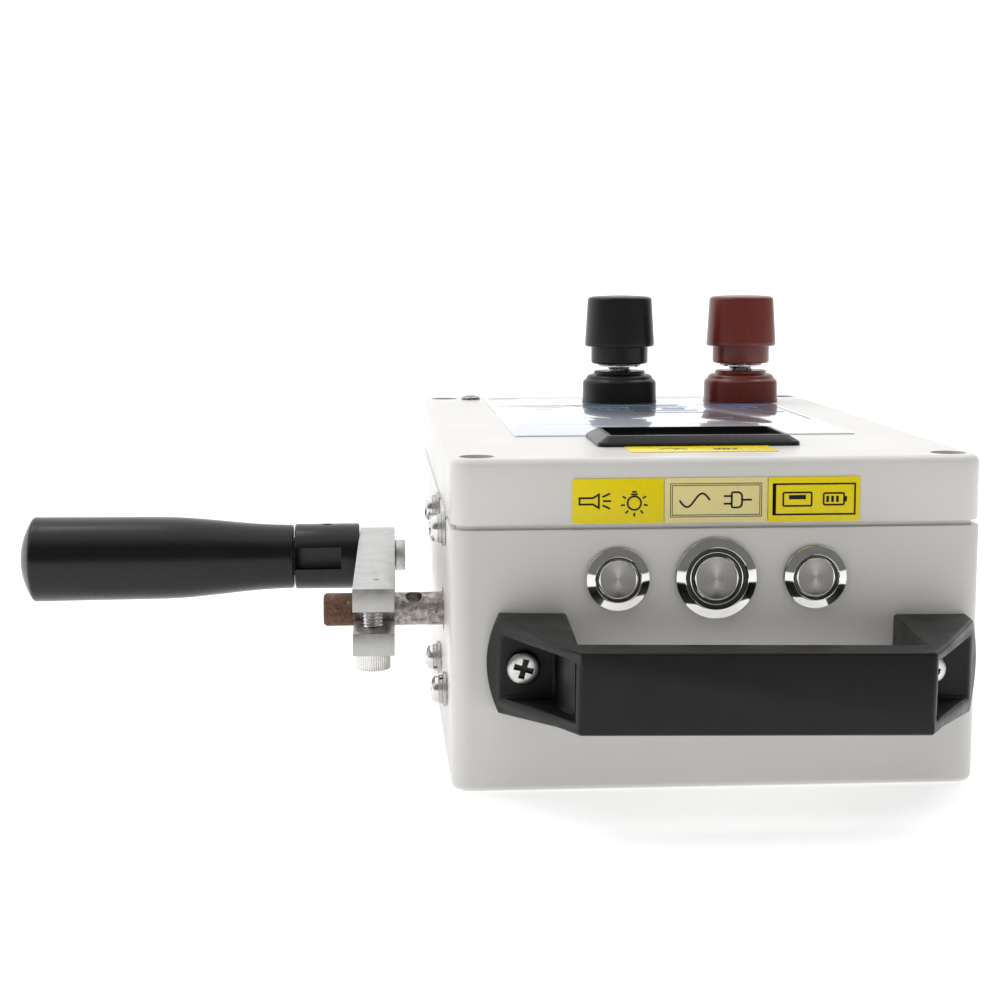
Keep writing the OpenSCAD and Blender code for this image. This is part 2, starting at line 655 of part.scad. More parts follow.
module rotor_core() color([0.6, 0.35, 0.2]) difference() {
    union() {
        rod_x(-23, 4, 13.8, rotor_y, shaft_z);
        rod_x(4, 10, 5, rotor_y, shaft_z);
    }
    for (a = [0:45:359]) translate([-24, rotor_y, shaft_z]) rotate([a, 0, 0])
        box([0, -1.2, 8], [27, 1.2, 16]);
    rod_x(-25, 12, rotor_r, rotor_y, shaft_z);
}

// ---- electrics ----

module battery_cells() color([0.15, 0.4, 0.6]) for (y = [34, 53.5, 73]) rod_x(-33, 32, 9.2, y, wall + 9.25);

module power_board() color([0.08, 0.35, 0.2]) difference() {
    union() {
        box([-49, 16, board_z], [49, 80, board_z + 1.6]);
        box([-36, 30, board_z + 1.5], [-6, 56, board_z + 22]);
        for (y = [0:4:20]) box([4, 32 + y, board_z + 3], [34, 34 + y, board_z + 20]);
        box([4, 32, board_z + 1.5], [34, 54, board_z + 4]);
        for (x = [-24, -10, 4, 18]) rod_z(board_z + 1.5, board_z + 14, 4.5, x, 66);
    }
    at_board_posts() translate([0, 0, board_z - 1]) cylinder(h = 5, r = m3_r + 0.1);
}

module outlet_socket() color([0.92, 0.92, 0.9]) difference() {
    union() {
        box([outlet_x - 17, half_l, back_z - 13.5], [outlet_x + 17, half_l + 2.5, back_z + 13.5]);
        box([outlet_x - 13.9, half_l - 20, back_z - 10.4], [outlet_x + 13.9, half_l + 0.1, back_z + 10.4]);
    }
    for (x = [-6.3, 6.3]) box([outlet_x + x - 1.1, half_l - 14, back_z - 2], [outlet_x + x + 1.1, half_l + 3, back_z + 6]);
    rod_y(half_l - 14, half_l + 3, 2.6, outlet_x, back_z - 6);
}

module usb_socket() color([0.12, 0.12, 0.12]) difference() {
    union() {
        box([usb_x - 10, half_l, back_z - 11], [usb_x + 10, half_l + 1.8, back_z + 11]);
        box([usb_x - 7.9, half_l - 15, back_z - 8.9], [usb_x + 7.9, half_l + 0.1, back_z + 8.9]);
    }
    for (z = [-4.2, 4.2]) difference() {
        box([usb_x - 6.2, half_l - 9, back_z + z - 2.5], [usb_x + 6.2, half_l + 3, back_z + z + 2.5]);
        box([usb_x - 5.4, half_l - 9.5, back_z + z + 0.3], [usb_x + 5.4, half_l - 0.5, back_z + z + 2.1]);
    }
}

module lamp_housing() color(satin_black) translate([lamp_x, half_l, back_z]) rotate([-90, 0, 0]) difference() {
    union() {
        cylinder(h = 2.5, r = 14);
        translate([0, 0, -12]) cylinder(h = 12.1, r = 12.1);
    }
    translate([0, 0, -10]) cylinder(h = 12, r1 = 5, r2 = 11);
    translate([0, 0, 1]) cylinder(h = 3, r = 11.6);
}

module lamp_lens() color([0.95, 0.97, 1, 0.5]) translate([lamp_x, half_l + 1, back_z]) rotate([-90, 0, 0])
    cylinder(h = 1.8, r = 11.5);

base_case();
lid_cover();
lid_gasket();
lid_screws();
panel_screw();
labels();
top_sheet();
carry_handle();
handle_screws();
handle_nuts();
small_switch_bodies();
main_switch_body();
light_button();
main_button();
usb_button();
switch_nuts();
switch_seals();
meter_housing();
meter_window();
meter_board();
black_post_base();
red_post_base();
post_studs();
post_nuts();
black_washer();
red_washer();
black_knob();
red_knob();
crank_shaft();
crank_arm();
clamp_screw();
pivot_bolt();
pivot_block();
fold_pin();
grip_spindle();
crank_grip();
grip_clip();
wall_screws();
wall_lock_washers();
wall_flat_washers();
outer_plate();
inner_plate();
plate_pillars();
small_screws();
shaft_bearings();
crank_gear();
idler_gear();
idler_shaft();
rotor_pinion();
generator_can();
generator_cap();
generator_magnets();
rotor_shaft();
rotor_core();
battery_cells();
power_board();
outlet_socket();
usb_socket();
lamp_housing();
lamp_lens();
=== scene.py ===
"""Looks of the hand-crank generator power box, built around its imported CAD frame. Metres, +Z up."""
from math import cos, pi, radians, sin, sqrt, tan

import bmesh
import bpy
from mathutils import Matrix, Vector


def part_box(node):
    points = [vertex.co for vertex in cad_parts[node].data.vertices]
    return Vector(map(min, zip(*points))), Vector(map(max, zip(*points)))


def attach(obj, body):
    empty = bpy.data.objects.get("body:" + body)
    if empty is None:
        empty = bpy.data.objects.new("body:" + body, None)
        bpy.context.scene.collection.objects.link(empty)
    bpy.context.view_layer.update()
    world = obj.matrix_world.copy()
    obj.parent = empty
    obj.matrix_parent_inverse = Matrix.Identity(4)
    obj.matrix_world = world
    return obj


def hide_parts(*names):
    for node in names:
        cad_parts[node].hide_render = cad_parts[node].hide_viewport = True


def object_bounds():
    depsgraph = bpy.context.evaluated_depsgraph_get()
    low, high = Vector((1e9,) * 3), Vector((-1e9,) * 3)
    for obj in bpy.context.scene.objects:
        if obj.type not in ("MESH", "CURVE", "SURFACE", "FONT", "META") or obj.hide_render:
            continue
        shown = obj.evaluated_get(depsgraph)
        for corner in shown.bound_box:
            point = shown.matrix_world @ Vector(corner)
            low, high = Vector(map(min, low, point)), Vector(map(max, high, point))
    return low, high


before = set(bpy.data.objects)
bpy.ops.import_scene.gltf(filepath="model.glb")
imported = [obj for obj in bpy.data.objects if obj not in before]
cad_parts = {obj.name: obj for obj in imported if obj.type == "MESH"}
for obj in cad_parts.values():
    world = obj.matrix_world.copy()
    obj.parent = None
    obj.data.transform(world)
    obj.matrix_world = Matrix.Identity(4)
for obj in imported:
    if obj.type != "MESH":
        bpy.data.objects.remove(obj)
cad_low, cad_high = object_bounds()
scene = bpy.context.scene
MM = 0.001
X, Y, Z = Vector((1, 0, 0)), Vector((0, 1, 0)), Vector((0, 0, 1))


# ---- camera, light and floor ----

CAMERA_PLACE = Vector((-77.8, -537.8, 119.3)) * MM
CAMERA_LENS = 72.26
YAW, PITCH, ROLL = 0.0661, 0.1207, 0.0023


def add_camera():
    """A camera looking slightly right and down at the front of the box."""
    ahead = Vector((sin(YAW) * cos(PITCH), cos(YAW) * cos(PITCH), -sin(PITCH)))
    flat_right = Vector((cos(YAW), -sin(YAW), 0))
    flat_down = ahead.cross(flat_right)
    right = cos(ROLL) * flat_right + sin(ROLL) * flat_down
    down = cos(ROLL) * flat_down - sin(ROLL) * flat_right
    data = bpy.data.cameras.new("camera")
    data.lens = CAMERA_LENS
    data.sensor_width = 36
    data.clip_start = 0.01
    camera = bpy.data.objects.new("camera", data)
    scene.collection.objects.link(camera)
    turn = Matrix((right, -down, -ahead)).transposed()
    camera.matrix_world = Matrix.Translation(CAMERA_PLACE) @ turn.to_4x4()
    scene.camera = camera


def add_area_light(name, place, target, size, power):
    """A rectangular soft light at place, aimed at target."""
    data = bpy.data.lights.new(name, "AREA")
    data.shape = "RECTANGLE"
    data.size, data.size_y = size
    data.energy = power
    light = bpy.data.objects.new(name, data)
    scene.collection.objects.link(light)
    light.location = Vector(place)
    light.rotation_mode = "QUATERNION"
    light.rotation_quaternion = (Vector(target) - Vector(place)).to_track_quat("-Z", "Y")


def add_world():
    """White surround behind, above and to the left of the object that falls to a dim room in front of it."""
    world = bpy.data.worlds.new("studio")
    world.use_nodes = True
    tree = world.node_tree
    coords = tree.nodes.new("ShaderNodeTexCoord")
    facing = tree.nodes.new("ShaderNodeVectorMath")
    facing.operation = "DOT_PRODUCT"
    facing.inputs[1].default_value = Vector((-0.2, 0.6, 0.8)).normalized()
    fade = tree.nodes.new("ShaderNodeMapRange")
    fade.interpolation_type = "SMOOTHSTEP"
    for socket, value in (("From Min", 0.1), ("From Max", 0.6), ("To Min", 0.19), ("To Max", 1.2)):
        fade.inputs[socket].default_value = value
    tree.links.new(coords.outputs["Generated"], facing.inputs[0])
    tree.links.new(facing.outputs["Value"], fade.inputs["Value"])
    tree.links.new(fade.outputs["Result"], tree.nodes["Background"].inputs["Strength"])
    tree.nodes["Background"].inputs["Color"].default_value = (1, 1, 1, 1)
    scene.world = world


def add_floor():
    """A plain white table top just under the object."""
    reach = 8.0
    mesh = bpy.data.meshes.new("floor")
    corners = [(-reach, -reach, 0), (reach, -reach, 0), (reach, reach, 0), (-reach, reach, 0)]
    mesh.from_pydata(corners, [], [(0, 1, 2, 3)])
    floor = bpy.data.objects.new("floor", mesh)
    floor.location.z = cad_low.z - 0.1 * MM
    scene.collection.objects.link(floor)
    material = bpy.data.materials.new("floor")
    material.use_nodes = True
    shader = material.node_tree.nodes["Principled BSDF"]
    shader.inputs["Base Color"].default_value = (0.76, 0.76, 0.76, 1)
    shader.inputs["Roughness"].default_value = 0.6
    shader.inputs["Emission Color"].default_value = (1, 1, 1, 1)
    shader.inputs["Emission Strength"].default_value = 0.54
    mesh.materials.append(material)


# ---- mesh tools ----

def link(name, mesh, place=Vector((0, 0, 0)), axis=Z):
    """A new object whose own Z points along axis."""
    obj = bpy.data.objects.new(name, mesh)
    scene.collection.objects.link(obj)
    turn = Matrix.Identity(4) if axis == Z else axis.to_track_quat("Z", "Y").to_matrix().to_4x4()
    obj.matrix_world = Matrix.Translation(Vector(place)) @ turn
    return obj


def from_faces(name, points, faces, place=Vector((0, 0, 0)), axis=Z):
    mesh = bpy.data.meshes.new(name)
    mesh.from_pydata(points, [], faces)
    work = bmesh.new()
    work.from_mesh(mesh)
    bmesh.ops.recalc_face_normals(work, faces=work.faces)
    work.to_mesh(mesh)
    work.free()
    return link(name, mesh, place, axis)


def fillet(corners, closed=True, steps=5):
    """An outline whose corners (x, y, r) are rounded with arcs of radius r."""
    out = []
    count = len(corners)
    for i, corner in enumerate(corners):
        here = Vector(corner[:2])
        radius = corner[2] if len(corner) > 2 else 0
        if radius <= 0 or (not closed and i in (0, count - 1)):
            out.append((here.x, here.y))
            continue
        back = Vector(corners[i - 1][:2]) - here
        on = Vector(corners[(i + 1) % count][:2]) - here
        half = back.angle(on) / 2
        reach = min(radius / tan(half), 0.499 * min(back.length, on.length))
        radius = reach * tan(half)
        middle = here + (back.normalized() + on.normalized()).normalized() * radius / sin(half)
        start = here + back.normalized() * reach - middle
        end = here + on.normalized() * reach - middle
        sweep = start.angle_signed(end)
        for k in range(steps + 1):
            turn = Matrix.Rotation(-sweep * k / steps, 2)
            spot = middle + turn @ start
            out.append((spot.x, spot.y))
    return out


def lathe(name, profile, place=Vector((0, 0, 0)), axis=Z, closed=False, segments=96, ripple=None):
    """A turned shape from (radius, height) points in millimetres; closed joins the last point to the first.
    ripple(angle, height) is an optional factor on the radius."""
    points, faces, rings = [], [], []
    for radius, height in profile:
        if radius < 1e-6:
            rings.append([len(points)] * segments)
            points.append((0, 0, height * MM))
            continue
        rings.append(list(range(len(points), len(points) + segments)))
        for k in range(segments):
            angle = 2 * pi * k / segments
            r = radius * MM * (ripple(angle, height) if ripple else 1)
            points.append((r * cos(angle), r * sin(angle), height * MM))
    pairs = list(zip(rings, rings[1:]))
    if closed:
        pairs.append((rings[-1], rings[0]))
    for low, high in pairs:
        for k in range(segments):
            n = (k + 1) % segments
            loop = list(dict.fromkeys((low[k], low[n], high[n], high[k])))
            if len(loop) > 2:
                faces.append(loop)
    return from_faces(name, points, faces, place, axis)


def prism(name, outline, low, high, place=Vector((0, 0, 0)), axis=Z):
    """An outline in millimetres, extruded along the object's own Z."""
    count = len(outline)
    points = [(x * MM, y * MM, z * MM) for z in (low, high) for x, y in outline]
    faces = [list(range(count))[::-1], list(range(count, 2 * count))]
    faces += [(k, (k + 1) % count, count + (k + 1) % count, count + k) for k in range(count)]
    return from_faces(name, points, faces, place, axis)


def block(name, low, high):
    """A box between two corners in millimetres, in the row frame."""
    outline = [(low[0], low[1]), (high[0], low[1]), (high[0], high[1]), (low[0], high[1])]
    return prism(name, outline, low[2], high[2])


def drum(name, radius, low, high, place=Vector((0, 0, 0)), axis=Z, segments=64):
    """A plain cylinder in millimetres."""
    return lathe(name, [(0, low), (radius, low), (radius, high), (0, high)], place, axis, segments=segments)


def loft(name, rings):
    """A closed shell through rings of points in millimetres, capped at both ends."""
    count = len(rings[0])
    points = [tuple(c * MM for c in p) for ring in rings for p in ring]
    faces = [list(range(count))[::-1], list(range(len(points) - count, len(points)))]
    for i in range(len(rings) - 1):
        low, high = i * count, (i + 1) * count
        faces += [(low + k, low + (k + 1) % count, high + (k + 1) % count, high + k) for k in range(count)]
    return from_faces(name, points, faces)


def rounded_ring(width, length, radius, inset, height, steps=8):
    """A rounded rectangle drawn in by inset at a height, in millimetres."""
    w, l, r = width / 2 - inset, length / 2 - inset, max(radius - inset, 0.3)
    out = []
    for quarter, (sx, sy) in enumerate(((1, 1), (-1, 1), (-1, -1), (1, -1))):
        for k in range(steps + 1):
            angle = pi / 2 * (quarter + k / steps)
            out.append((sx * (w - r) + r * cos(angle), sy * (l - r) + r * sin(angle), height))
    return out


def bake(obj):
    """Applies the modifiers."""
    graph = bpy.context.evaluated_depsgraph_get()
    graph.update()
    made = bpy.data.meshes.new_from_object(obj.evaluated_get(graph))
    obj.modifiers.clear()
    obj.data = made
    return obj


def combine(obj, others, operation):
    """One boolean for each of the others, which are used up."""
    for other in others:
        step = obj.modifiers.new("step", "BOOLEAN")
        step.operation = operation
        step.solver = "EXACT"
        step.object = other
    bake(obj)
    for other in others:
        bpy.data.objects.remove(other)
    return obj


def cut(obj, *cutters):
    return combine(obj, cutters, "DIFFERENCE")


def add(obj, *others):
    return combine(obj, others, "UNION")


def keep(obj, *others):
    return combine(obj, others, "INTERSECT")


def bevel(obj, width, segments=3, angle=30):
    """Rounds the edges sharper than angle degrees by width millimetres."""
    work = bmesh.new()
    work.from_mesh(obj.data)
    bmesh.ops.remove_doubles(work, verts=work.verts, dist=0.002 * MM)
    bmesh.ops.dissolve_limit(work, angle_limit=radians(0.5), verts=work.verts, edges=work.edges)
    work.to_mesh(obj.data)
    work.free()
    step = obj.modifiers.new("bevel", "BEVEL")
    step.width = width * MM
    step.segments = segments
    step.limit_method = "ANGLE"
    step.angle_limit = radians(angle)
    step.use_clamp_overlap = True
    return bake(obj)


def soften(obj, width, shortest, angle=40):
    """Rounds the edges sharper than angle degrees that are at least shortest millimetres long."""
    work = bmesh.new()
    work.from_mesh(obj.data)
    bmesh.ops.remove_doubles(work, verts=work.verts, dist=0.01 * MM)
    bmesh.ops.dissolve_limit(work, angle_limit=radians(0.5), verts=work.verts, edges=work.edges)
    edges = [e for e in work.edges if e.is_manifold and e.calc_length() > shortest * MM
             and e.calc_face_angle() > radians(angle)]
    bmesh.ops.bevel(work, geom=edges, offset=width * MM, segments=3, profile=0.5, affect="EDGES",
                    clamp_overlap=False)
    work.to_mesh(obj.data)
    work.free()


def join(name, objs):
    """One object from several, in the row frame, keeping their materials."""
    points, faces, picks, materials = [], [], [], []
    for obj in objs:
        start = len(points)
        points += [obj.matrix_world @ v.co for v in obj.data.vertices]
        for face in obj.data.polygons:
            faces.append([start + i for i in face.vertices])
            material = obj.data.materials[face.material_index] if obj.data.materials else None
            if material not in materials:
                materials.append(material)
            picks.append(materials.index(material))
    mesh = bpy.data.meshes.new(name)
    mesh.from_pydata(points, [], faces)
    for material in materials:
        mesh.materials.append(material)
    mesh.polygons.foreach_set("material_index", picks)
    for obj in objs:
        bpy.data.objects.remove(obj)
    return link(name, mesh)


def piece(obj, slot, stands_for=(), look=None, body="enclosure", sharp=35):
    """Shades a finished piece, gives it its slot's material or another look, and makes it ride on a body."""
    obj.data.materials.clear()
    obj.data.materials.append(look or LOOK[slot])
    obj.data.polygons.foreach_set("use_smooth", [True] * len(obj.data.polygons))
    obj.data.set_sharp_from_angle(angle=radians(sharp))
    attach(obj, body)
    if stands_for:
        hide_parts(*stands_for)
    return obj


def middle(node):
    low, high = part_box(node)
    return (low + high) / 2


def span(node):
    """The corners of a CAD node's box in millimetres."""
    low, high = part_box(node)
    return low / MM, high / MM


# ---- materials ----

class Finish:
    """A Principled material with helpers for procedural colour, roughness and bump, in its object's space."""

    def __init__(self, name, colour, rough, metal=0.0, coat=0.0, **extra):
        self.material = bpy.data.materials.new(name)
        self.material.use_nodes = True
        self.tree = self.material.node_tree
        self.shader = self.tree.nodes["Principled BSDF"]
        self.colour = colour
        self.set("Base Color", (*colour, 1))
        self.set("Roughness", rough)
        self.set("Metallic", metal)
        self.set("Coat Weight", coat)
        for key, value in extra.items():
            self.set(key.replace("_", " "), value)
        self.coords = self.tree.nodes.new("ShaderNodeTexCoord").outputs["Object"]
        self.normal = None

    def set(self, socket, value):
        """Gives a socket of the shader a value or another node's output."""
        self.feed(self.shader.inputs[socket], value)

    def node(self, kind, **inputs):
        made = self.tree.nodes.new(kind)
        for key, value in inputs.items():
            self.feed(made.inputs[key.replace("_", " ")], value)
        return made

    def feed(self, socket, value):
        if isinstance(value, bpy.types.NodeSocket):
            self.tree.links.new(value, socket)
        else:
            socket.default_value = value

    def stretched(self, factors):
        made = self.node("ShaderNodeVectorMath", Vector=self.coords)
        made.operation = "MULTIPLY"
        made.inputs[1].default_value = factors
        return made.outputs["Vector"]

    def noise(self, size, detail=3.0, rough=0.5, stretch=(1, 1, 1)):
        """Noise from 0 to 1 with features about size millimetres across."""
        made = self.node("ShaderNodeTexNoise", Vector=self.stretched(stretch), Scale=1 / (size * MM),
                         Detail=detail, Roughness=rough)
        return made.outputs["Fac"]

    def spread(self, value, low, high, to_low=0.0, to_high=1.0):
        made = self.node("ShaderNodeMapRange", Value=value, From_Min=low, From_Max=high,
                         To_Min=to_low, To_Max=to_high)
        return made.outputs["Result"]

    def math(self, operation, a, b=0.0):
        made = self.tree.nodes.new("ShaderNodeMath")
        made.operation = operation
        self.feed(made.inputs[0], a)
        self.feed(made.inputs[1], b)
        return made.outputs[0]

    def axis(self, letter):
        return self.node("ShaderNodeSeparateXYZ", Vector=self.coords).outputs[letter]

    def blend(self, share, first, second):
        """A colour between two, each a triple or a socket."""
        made = self.tree.nodes.new("ShaderNodeMix")
        made.data_type = "RGBA"
        self.feed(made.inputs[0], share)
        self.feed(made.inputs[6], first if isinstance(first, bpy.types.NodeSocket) else (*first, 1))
        self.feed(made.inputs[7], second if isinstance(second, bpy.types.NodeSocket) else (*second, 1))
        return made.outputs[2]

    def paint(self, colour):
        self.set("Base Color", colour)
        return self

    def mottle(self, size, other, low=0.35, high=0.65):
        """Varies the base colour towards another in patches of a size."""
        return self.paint(self.blend(self.spread(self.noise(size), low, high), self.colour, other))

    def gloss(self, size, low, high, stretch=(1, 1, 1)):
        """Varies the roughness."""
        self.set("Roughness", self.spread(self.noise(size, stretch=stretch), 0.3, 0.7, low, high))
        return self

    def bump(self, height, depth, strength=1.0):
        """Adds relief of about depth millimetres."""
        made = self.node("ShaderNodeBump", Height=height, Distance=depth * MM, Strength=strength)
        if self.normal is not None:
            self.tree.links.new(self.normal, made.inputs["Normal"])
        self.normal = made.outputs["Normal"]
        self.set("Normal", self.normal)
        return self


def shade(colour, factor):
    return tuple(min(1.0, c * factor) for c in colour)


def plastic(name, colour, rough, grain=0.012, grain_size=0.35, patch=None, coat=0.0, **extra):
    """Moulded plastic: fine grain, cloudy gloss and slight colour patches."""
    made = Finish(name, colour, rough, coat=coat, **extra)
    made.mottle(28, patch or shade(colour, 0.9), 0.3, 0.75)
    made.gloss(9, rough * 0.85, rough * 1.2)
    return made.bump(made.noise(grain_size, 2), grain, 0.5).bump(made.noise(40, 1), 0.12, 0.15).material


def brushed(name, colour, rough, stretch=(1, 1, 14), depth=0.004, size=0.5, **extra):
    """Metal with fine lines along the short direction of the stretch."""
    made = Finish(name, colour, rough, metal=1.0, **extra)
    lines = made.noise(size, 4, 0.7, stretch)
    made.paint(made.blend(made.spread(lines, 0.3, 0.7), shade(colour, 0.82), colour))
    made.gloss(1.5, rough * 0.75, rough * 1.35, stretch)
    return made.bump(lines, depth).material


def make_case_plastic():
    made = Finish("case_plastic", (0.79, 0.775, 0.745), 0.33, coat=0.1, Coat_Roughness=0.15)
    made.mottle(45, (0.765, 0.75, 0.715), 0.3, 0.7).gloss(14, 0.29, 0.38)
    return made.bump(made.noise(0.6, 2), 0.006, 0.4).bump(made.noise(55, 1), 0.1, 0.12).material


def make_raw_aluminium():
    made = Finish("raw_aluminium", (0.78, 0.775, 0.76), 0.42, metal=1.0)
    saw = made.noise(0.9, 5, 0.75, (1, 3, 9))
    scuffs = made.noise(5, 5, 0.7)
    made.paint(made.blend(made.spread(scuffs, 0.35, 0.65), (0.42, 0.415, 0.41), (0.52, 0.515, 0.505)))
    made.gloss(2.5, 0.28, 0.5)
    scratch = made.spread(made.noise(0.5, 2, 0.5, (0.12, 1, 4)), 0.68, 0.72)
    return made.bump(saw, 0.04, 0.8).bump(scratch, -0.02, 0.6).material


def make_shaft_steel():
    made = Finish("shaft_steel", (0.42, 0.39, 0.36), 0.42, metal=0.9)
    patches = made.noise(3.2, 6, 0.7)
    along = made.spread(made.axis("Z"), 0.0465, 0.05, 0.1, 1.0)
    rust = made.math("MULTIPLY", made.spread(patches, 0.26, 0.46), along)
    pits = made.spread(made.noise(0.7, 4, 0.8), 0.56, 0.64)
    steel = made.blend(made.spread(made.noise(1.2, 4), 0.35, 0.65), (0.26, 0.24, 0.22), (0.6, 0.57, 0.54))
    brown = made.blend(made.spread(made.noise(1.0, 5), 0.3, 0.7), (0.1, 0.045, 0.03), (0.22, 0.11, 0.07))
    made.paint(made.blend(pits, made.blend(rust, steel, brown), (0.05, 0.035, 0.03)))
    made.set("Metallic", made.spread(rust, 0, 1, 0.9, 0.25))
    made.set("Roughness", made.spread(rust, 0, 1, 0.36, 0.75))
    return made.bump(pits, -0.05, 0.8).bump(made.noise(0.8, 3, 0.5, (1, 1, 8)), 0.01).material


def make_spun(name, colour, rough):
    """A faced metal disc: fine circles about the object's own Z, with highlights that fan out."""
    made = Finish(name, colour, rough, metal=1.0, Anisotropic=0.88)
    tangent = made.tree.nodes.new("ShaderNodeTangent")
    tangent.direction_type = "RADIAL"
    tangent.axis = "Z"
    made.set("Tangent", tangent.outputs["Tangent"])
    away = made.node("ShaderNodeVectorMath", Vector=made.stretched((1, 1, 0)))
    away.operation = "LENGTH"
    circles = made.tree.nodes.new("ShaderNodeTexNoise")
    circles.noise_dimensions = "1D"
    for socket, value in (("Scale", 1 / (0.12 * MM)), ("Detail", 2.0), ("W", away.outputs["Value"])):
        made.feed(circles.inputs[socket], value)
    lines = circles.outputs["Fac"]
    made.paint(made.blend(made.spread(lines, 0.35, 0.65), shade(colour, 0.8), colour))
    made.set("Roughness", made.spread(lines, 0.3, 0.7, rough * 0.8, rough * 1.2))
    return made.bump(lines, 0.0025).material


def make_polished(name, colour, rough):
    """Bright plated metal with faint waviness and hairlines."""
    made = Finish(name, colour, rough, metal=1.0)
    made.mottle(3, shade(colour, 0.93)).gloss(2.0, rough * 0.7, rough * 1.5)
    made.bump(made.noise(4, 1), 0.004, 0.5)
    return made.bump(made.noise(0.25, 2, 0.5, (1, 6, 1)), 0.0012).material


def make_sunk_screw():
    """A plated screw face with painted shade: dark below its top where the recess and the rim catch no light.
    """
    made = Finish("sunk_screw", (0.7, 0.69, 0.67), 0.3, metal=1.0)
    # painted shade: the colour falls to near black behind a set depth along the object's Y, over the recess
    # and the rim
    depth = made.spread(made.axis("Y"), -0.10865, -0.1083)
    plate = made.blend(made.spread(made.noise(1.5), 0.35, 0.65), (0.62, 0.61, 0.59), (0.74, 0.73, 0.71))
    made.paint(made.blend(depth, plate, (0.03, 0.028, 0.027)))
    return made.bump(made.noise(0.4, 2), 0.002).material


def make_board():
    made = Finish("board", (0.02, 0.16, 0.07), 0.35, coat=0.4, Coat_Roughness=0.1)
    tracks = made.tree.nodes.new("ShaderNodeTexBrick")
    for socket, value in (("Vector", made.coords), ("Scale", 260.0), ("Mortar Size", 0.05),
                          ("Brick Width", 0.9), ("Row Height", 0.35), ("Color1", (0.02, 0.17, 0.07, 1)),
                          ("Color2", (0.025, 0.13, 0.06, 1)), ("Mortar", (0.05, 0.3, 0.12, 1))):
        made.feed(tracks.inputs[socket], value)
    made.paint(tracks.outputs["Color"])
    return made.bump(tracks.outputs["Fac"], 0.03, 0.4).material


def make_film(name, colour, rough=0.3, coat=0.0):
    """Printed self-adhesive film: even colour with faint fibre and orange-peel gloss."""
    made = Finish(name, colour, rough, coat=coat, Coat_Roughness=0.05, Specular_IOR_Level=0.25)
    made.mottle(2.2, shade(colour, 0.97)).gloss(1.2, rough * 0.8, rough * 1.2)
    return made.bump(made.noise(1.0, 2), 0.004, 0.3).material


def make_wound(name, colour, other, pitch):
    """Fine turns of wire about the object's X."""
    made = Finish(name, colour, 0.3, metal=0.9)
    wave = made.node("ShaderNodeTexWave", Vector=made.coords, Scale=1 / (pitch * MM * 20))
    wave.bands_direction = "DIAGONAL"
    made.paint(made.blend(wave.outputs["Fac"], other, colour))
    return made.bump(wave.outputs["Fac"], 0.1, 0.8).material


def make_glass(name, colour, rough, transmission):
    made = Finish(name, colour, rough, coat=0.5, IOR=1.49, Transmission_Weight=transmission,
                  Coat_Roughness=0.05)
    made.mottle(12, shade(colour, 0.9)).gloss(8, rough * 0.8, rough * 1.4)
    return made.bump(made.noise(18, 1), 0.02, 0.2).material


def make_cell_wrap():
    made = Finish("cell_wrap", (0.02, 0.09, 0.3), 0.3, coat=0.5, Coat_Roughness=0.1)
    made.mottle(8, (0.03, 0.13, 0.38)).gloss(3, 0.25, 0.38)
    return made.bump(made.noise(6, 2, 0.5, (1, 1, 0.2)), 0.05, 0.4).material


SILVER = (0.74, 0.73, 0.71)
LOOK = {
    "case_plastic": make_case_plastic(),
    "black_plastic": plastic("black_plastic", (0.01, 0.0095, 0.01), 0.4, 0.012, 0.3,
                             Specular_IOR_Level=0.25),
    "grip_bakelite": plastic("grip_bakelite", (0.005, 0.005, 0.006), 0.27, 0.004, 0.5,
                             Specular_IOR_Level=0.36),
    "post_black": plastic("post_black", (0.008, 0.008, 0.0085), 0.3, 0.006, 0.5,
                          Specular_IOR_Level=0.32),
    "post_red": plastic("post_red", (0.17, 0.016, 0.008), 0.3, 0.006, 0.5, (0.13, 0.012, 0.006),
                        coat=0.15),
    "nickel": make_polished("nickel", SILVER, 0.17),
    "button_steel": make_spun("button_steel", (0.4, 0.385, 0.37), 0.3),
    "zinc": brushed("zinc", (0.6, 0.595, 0.58), 0.3, (1, 1, 5)),
    "shaft_steel": make_shaft_steel(),
    "raw_aluminium": make_raw_aluminium(),
    "brass": brushed("brass", (0.78, 0.6, 0.3), 0.25, (1, 1, 8)),
    "gear_acetal": plastic("gear_acetal", (0.72, 0.69, 0.6), 0.38, 0.01, 0.5, coat=0.1),
    "rubber": plastic("rubber", (0.02, 0.02, 0.02), 0.7, 0.03, 0.4),
    "label_film": make_film("label_film", (1.0, 0.8, 0.006)),
    "sheet_film": make_film("sheet_film", (0.74, 0.79, 0.87), 0.15, 1.0),
    "meter_glass": make_glass("meter_glass", (0.02, 0.012, 0.012), 0.08, 0.35),
    "board": make_board(),
    "motor_steel": brushed("motor_steel", (0.5, 0.5, 0.51), 0.35, (8, 1, 1), 0.006),
    "copper": make_wound("copper", (0.8, 0.3, 0.13), (0.45, 0.14, 0.06), 0.6),
    "cell_wrap": make_cell_wrap(),
    "white_plastic": plastic("white_plastic", (0.7, 0.69, 0.66), 0.35, 0.01, 0.4, coat=0.1),
    "clear_lens": make_glass("clear_lens", (0.92, 0.95, 0.97), 0.05, 0.92),
}
CREAM_FILM = make_film("cream_film", (0.95, 0.82, 0.36))
INK = plastic("ink", (0.008, 0.008, 0.008), 0.4, 0.004, 0.3, Specular_IOR_Level=0.2)
BLUE_INK = make_film("blue_ink", (0.2, 0.33, 0.6), 0.15, 1.0)
LAVENDER_INK = make_film("lavender_ink", (0.3, 0.28, 0.5), 0.15, 1.0)
GREEN_INK = make_film("green_ink", (0.12, 0.3, 0.08), 0.15, 1.0)
SUNK_SCREW_PAINTED_SHADE = make_sunk_screw()
DARK_STEEL = brushed("dark_steel", (0.07, 0.068, 0.066), 0.35, (1, 1, 5))
POLISHED = make_polished("polished_rim", (0.8, 0.79, 0.77), 0.045)
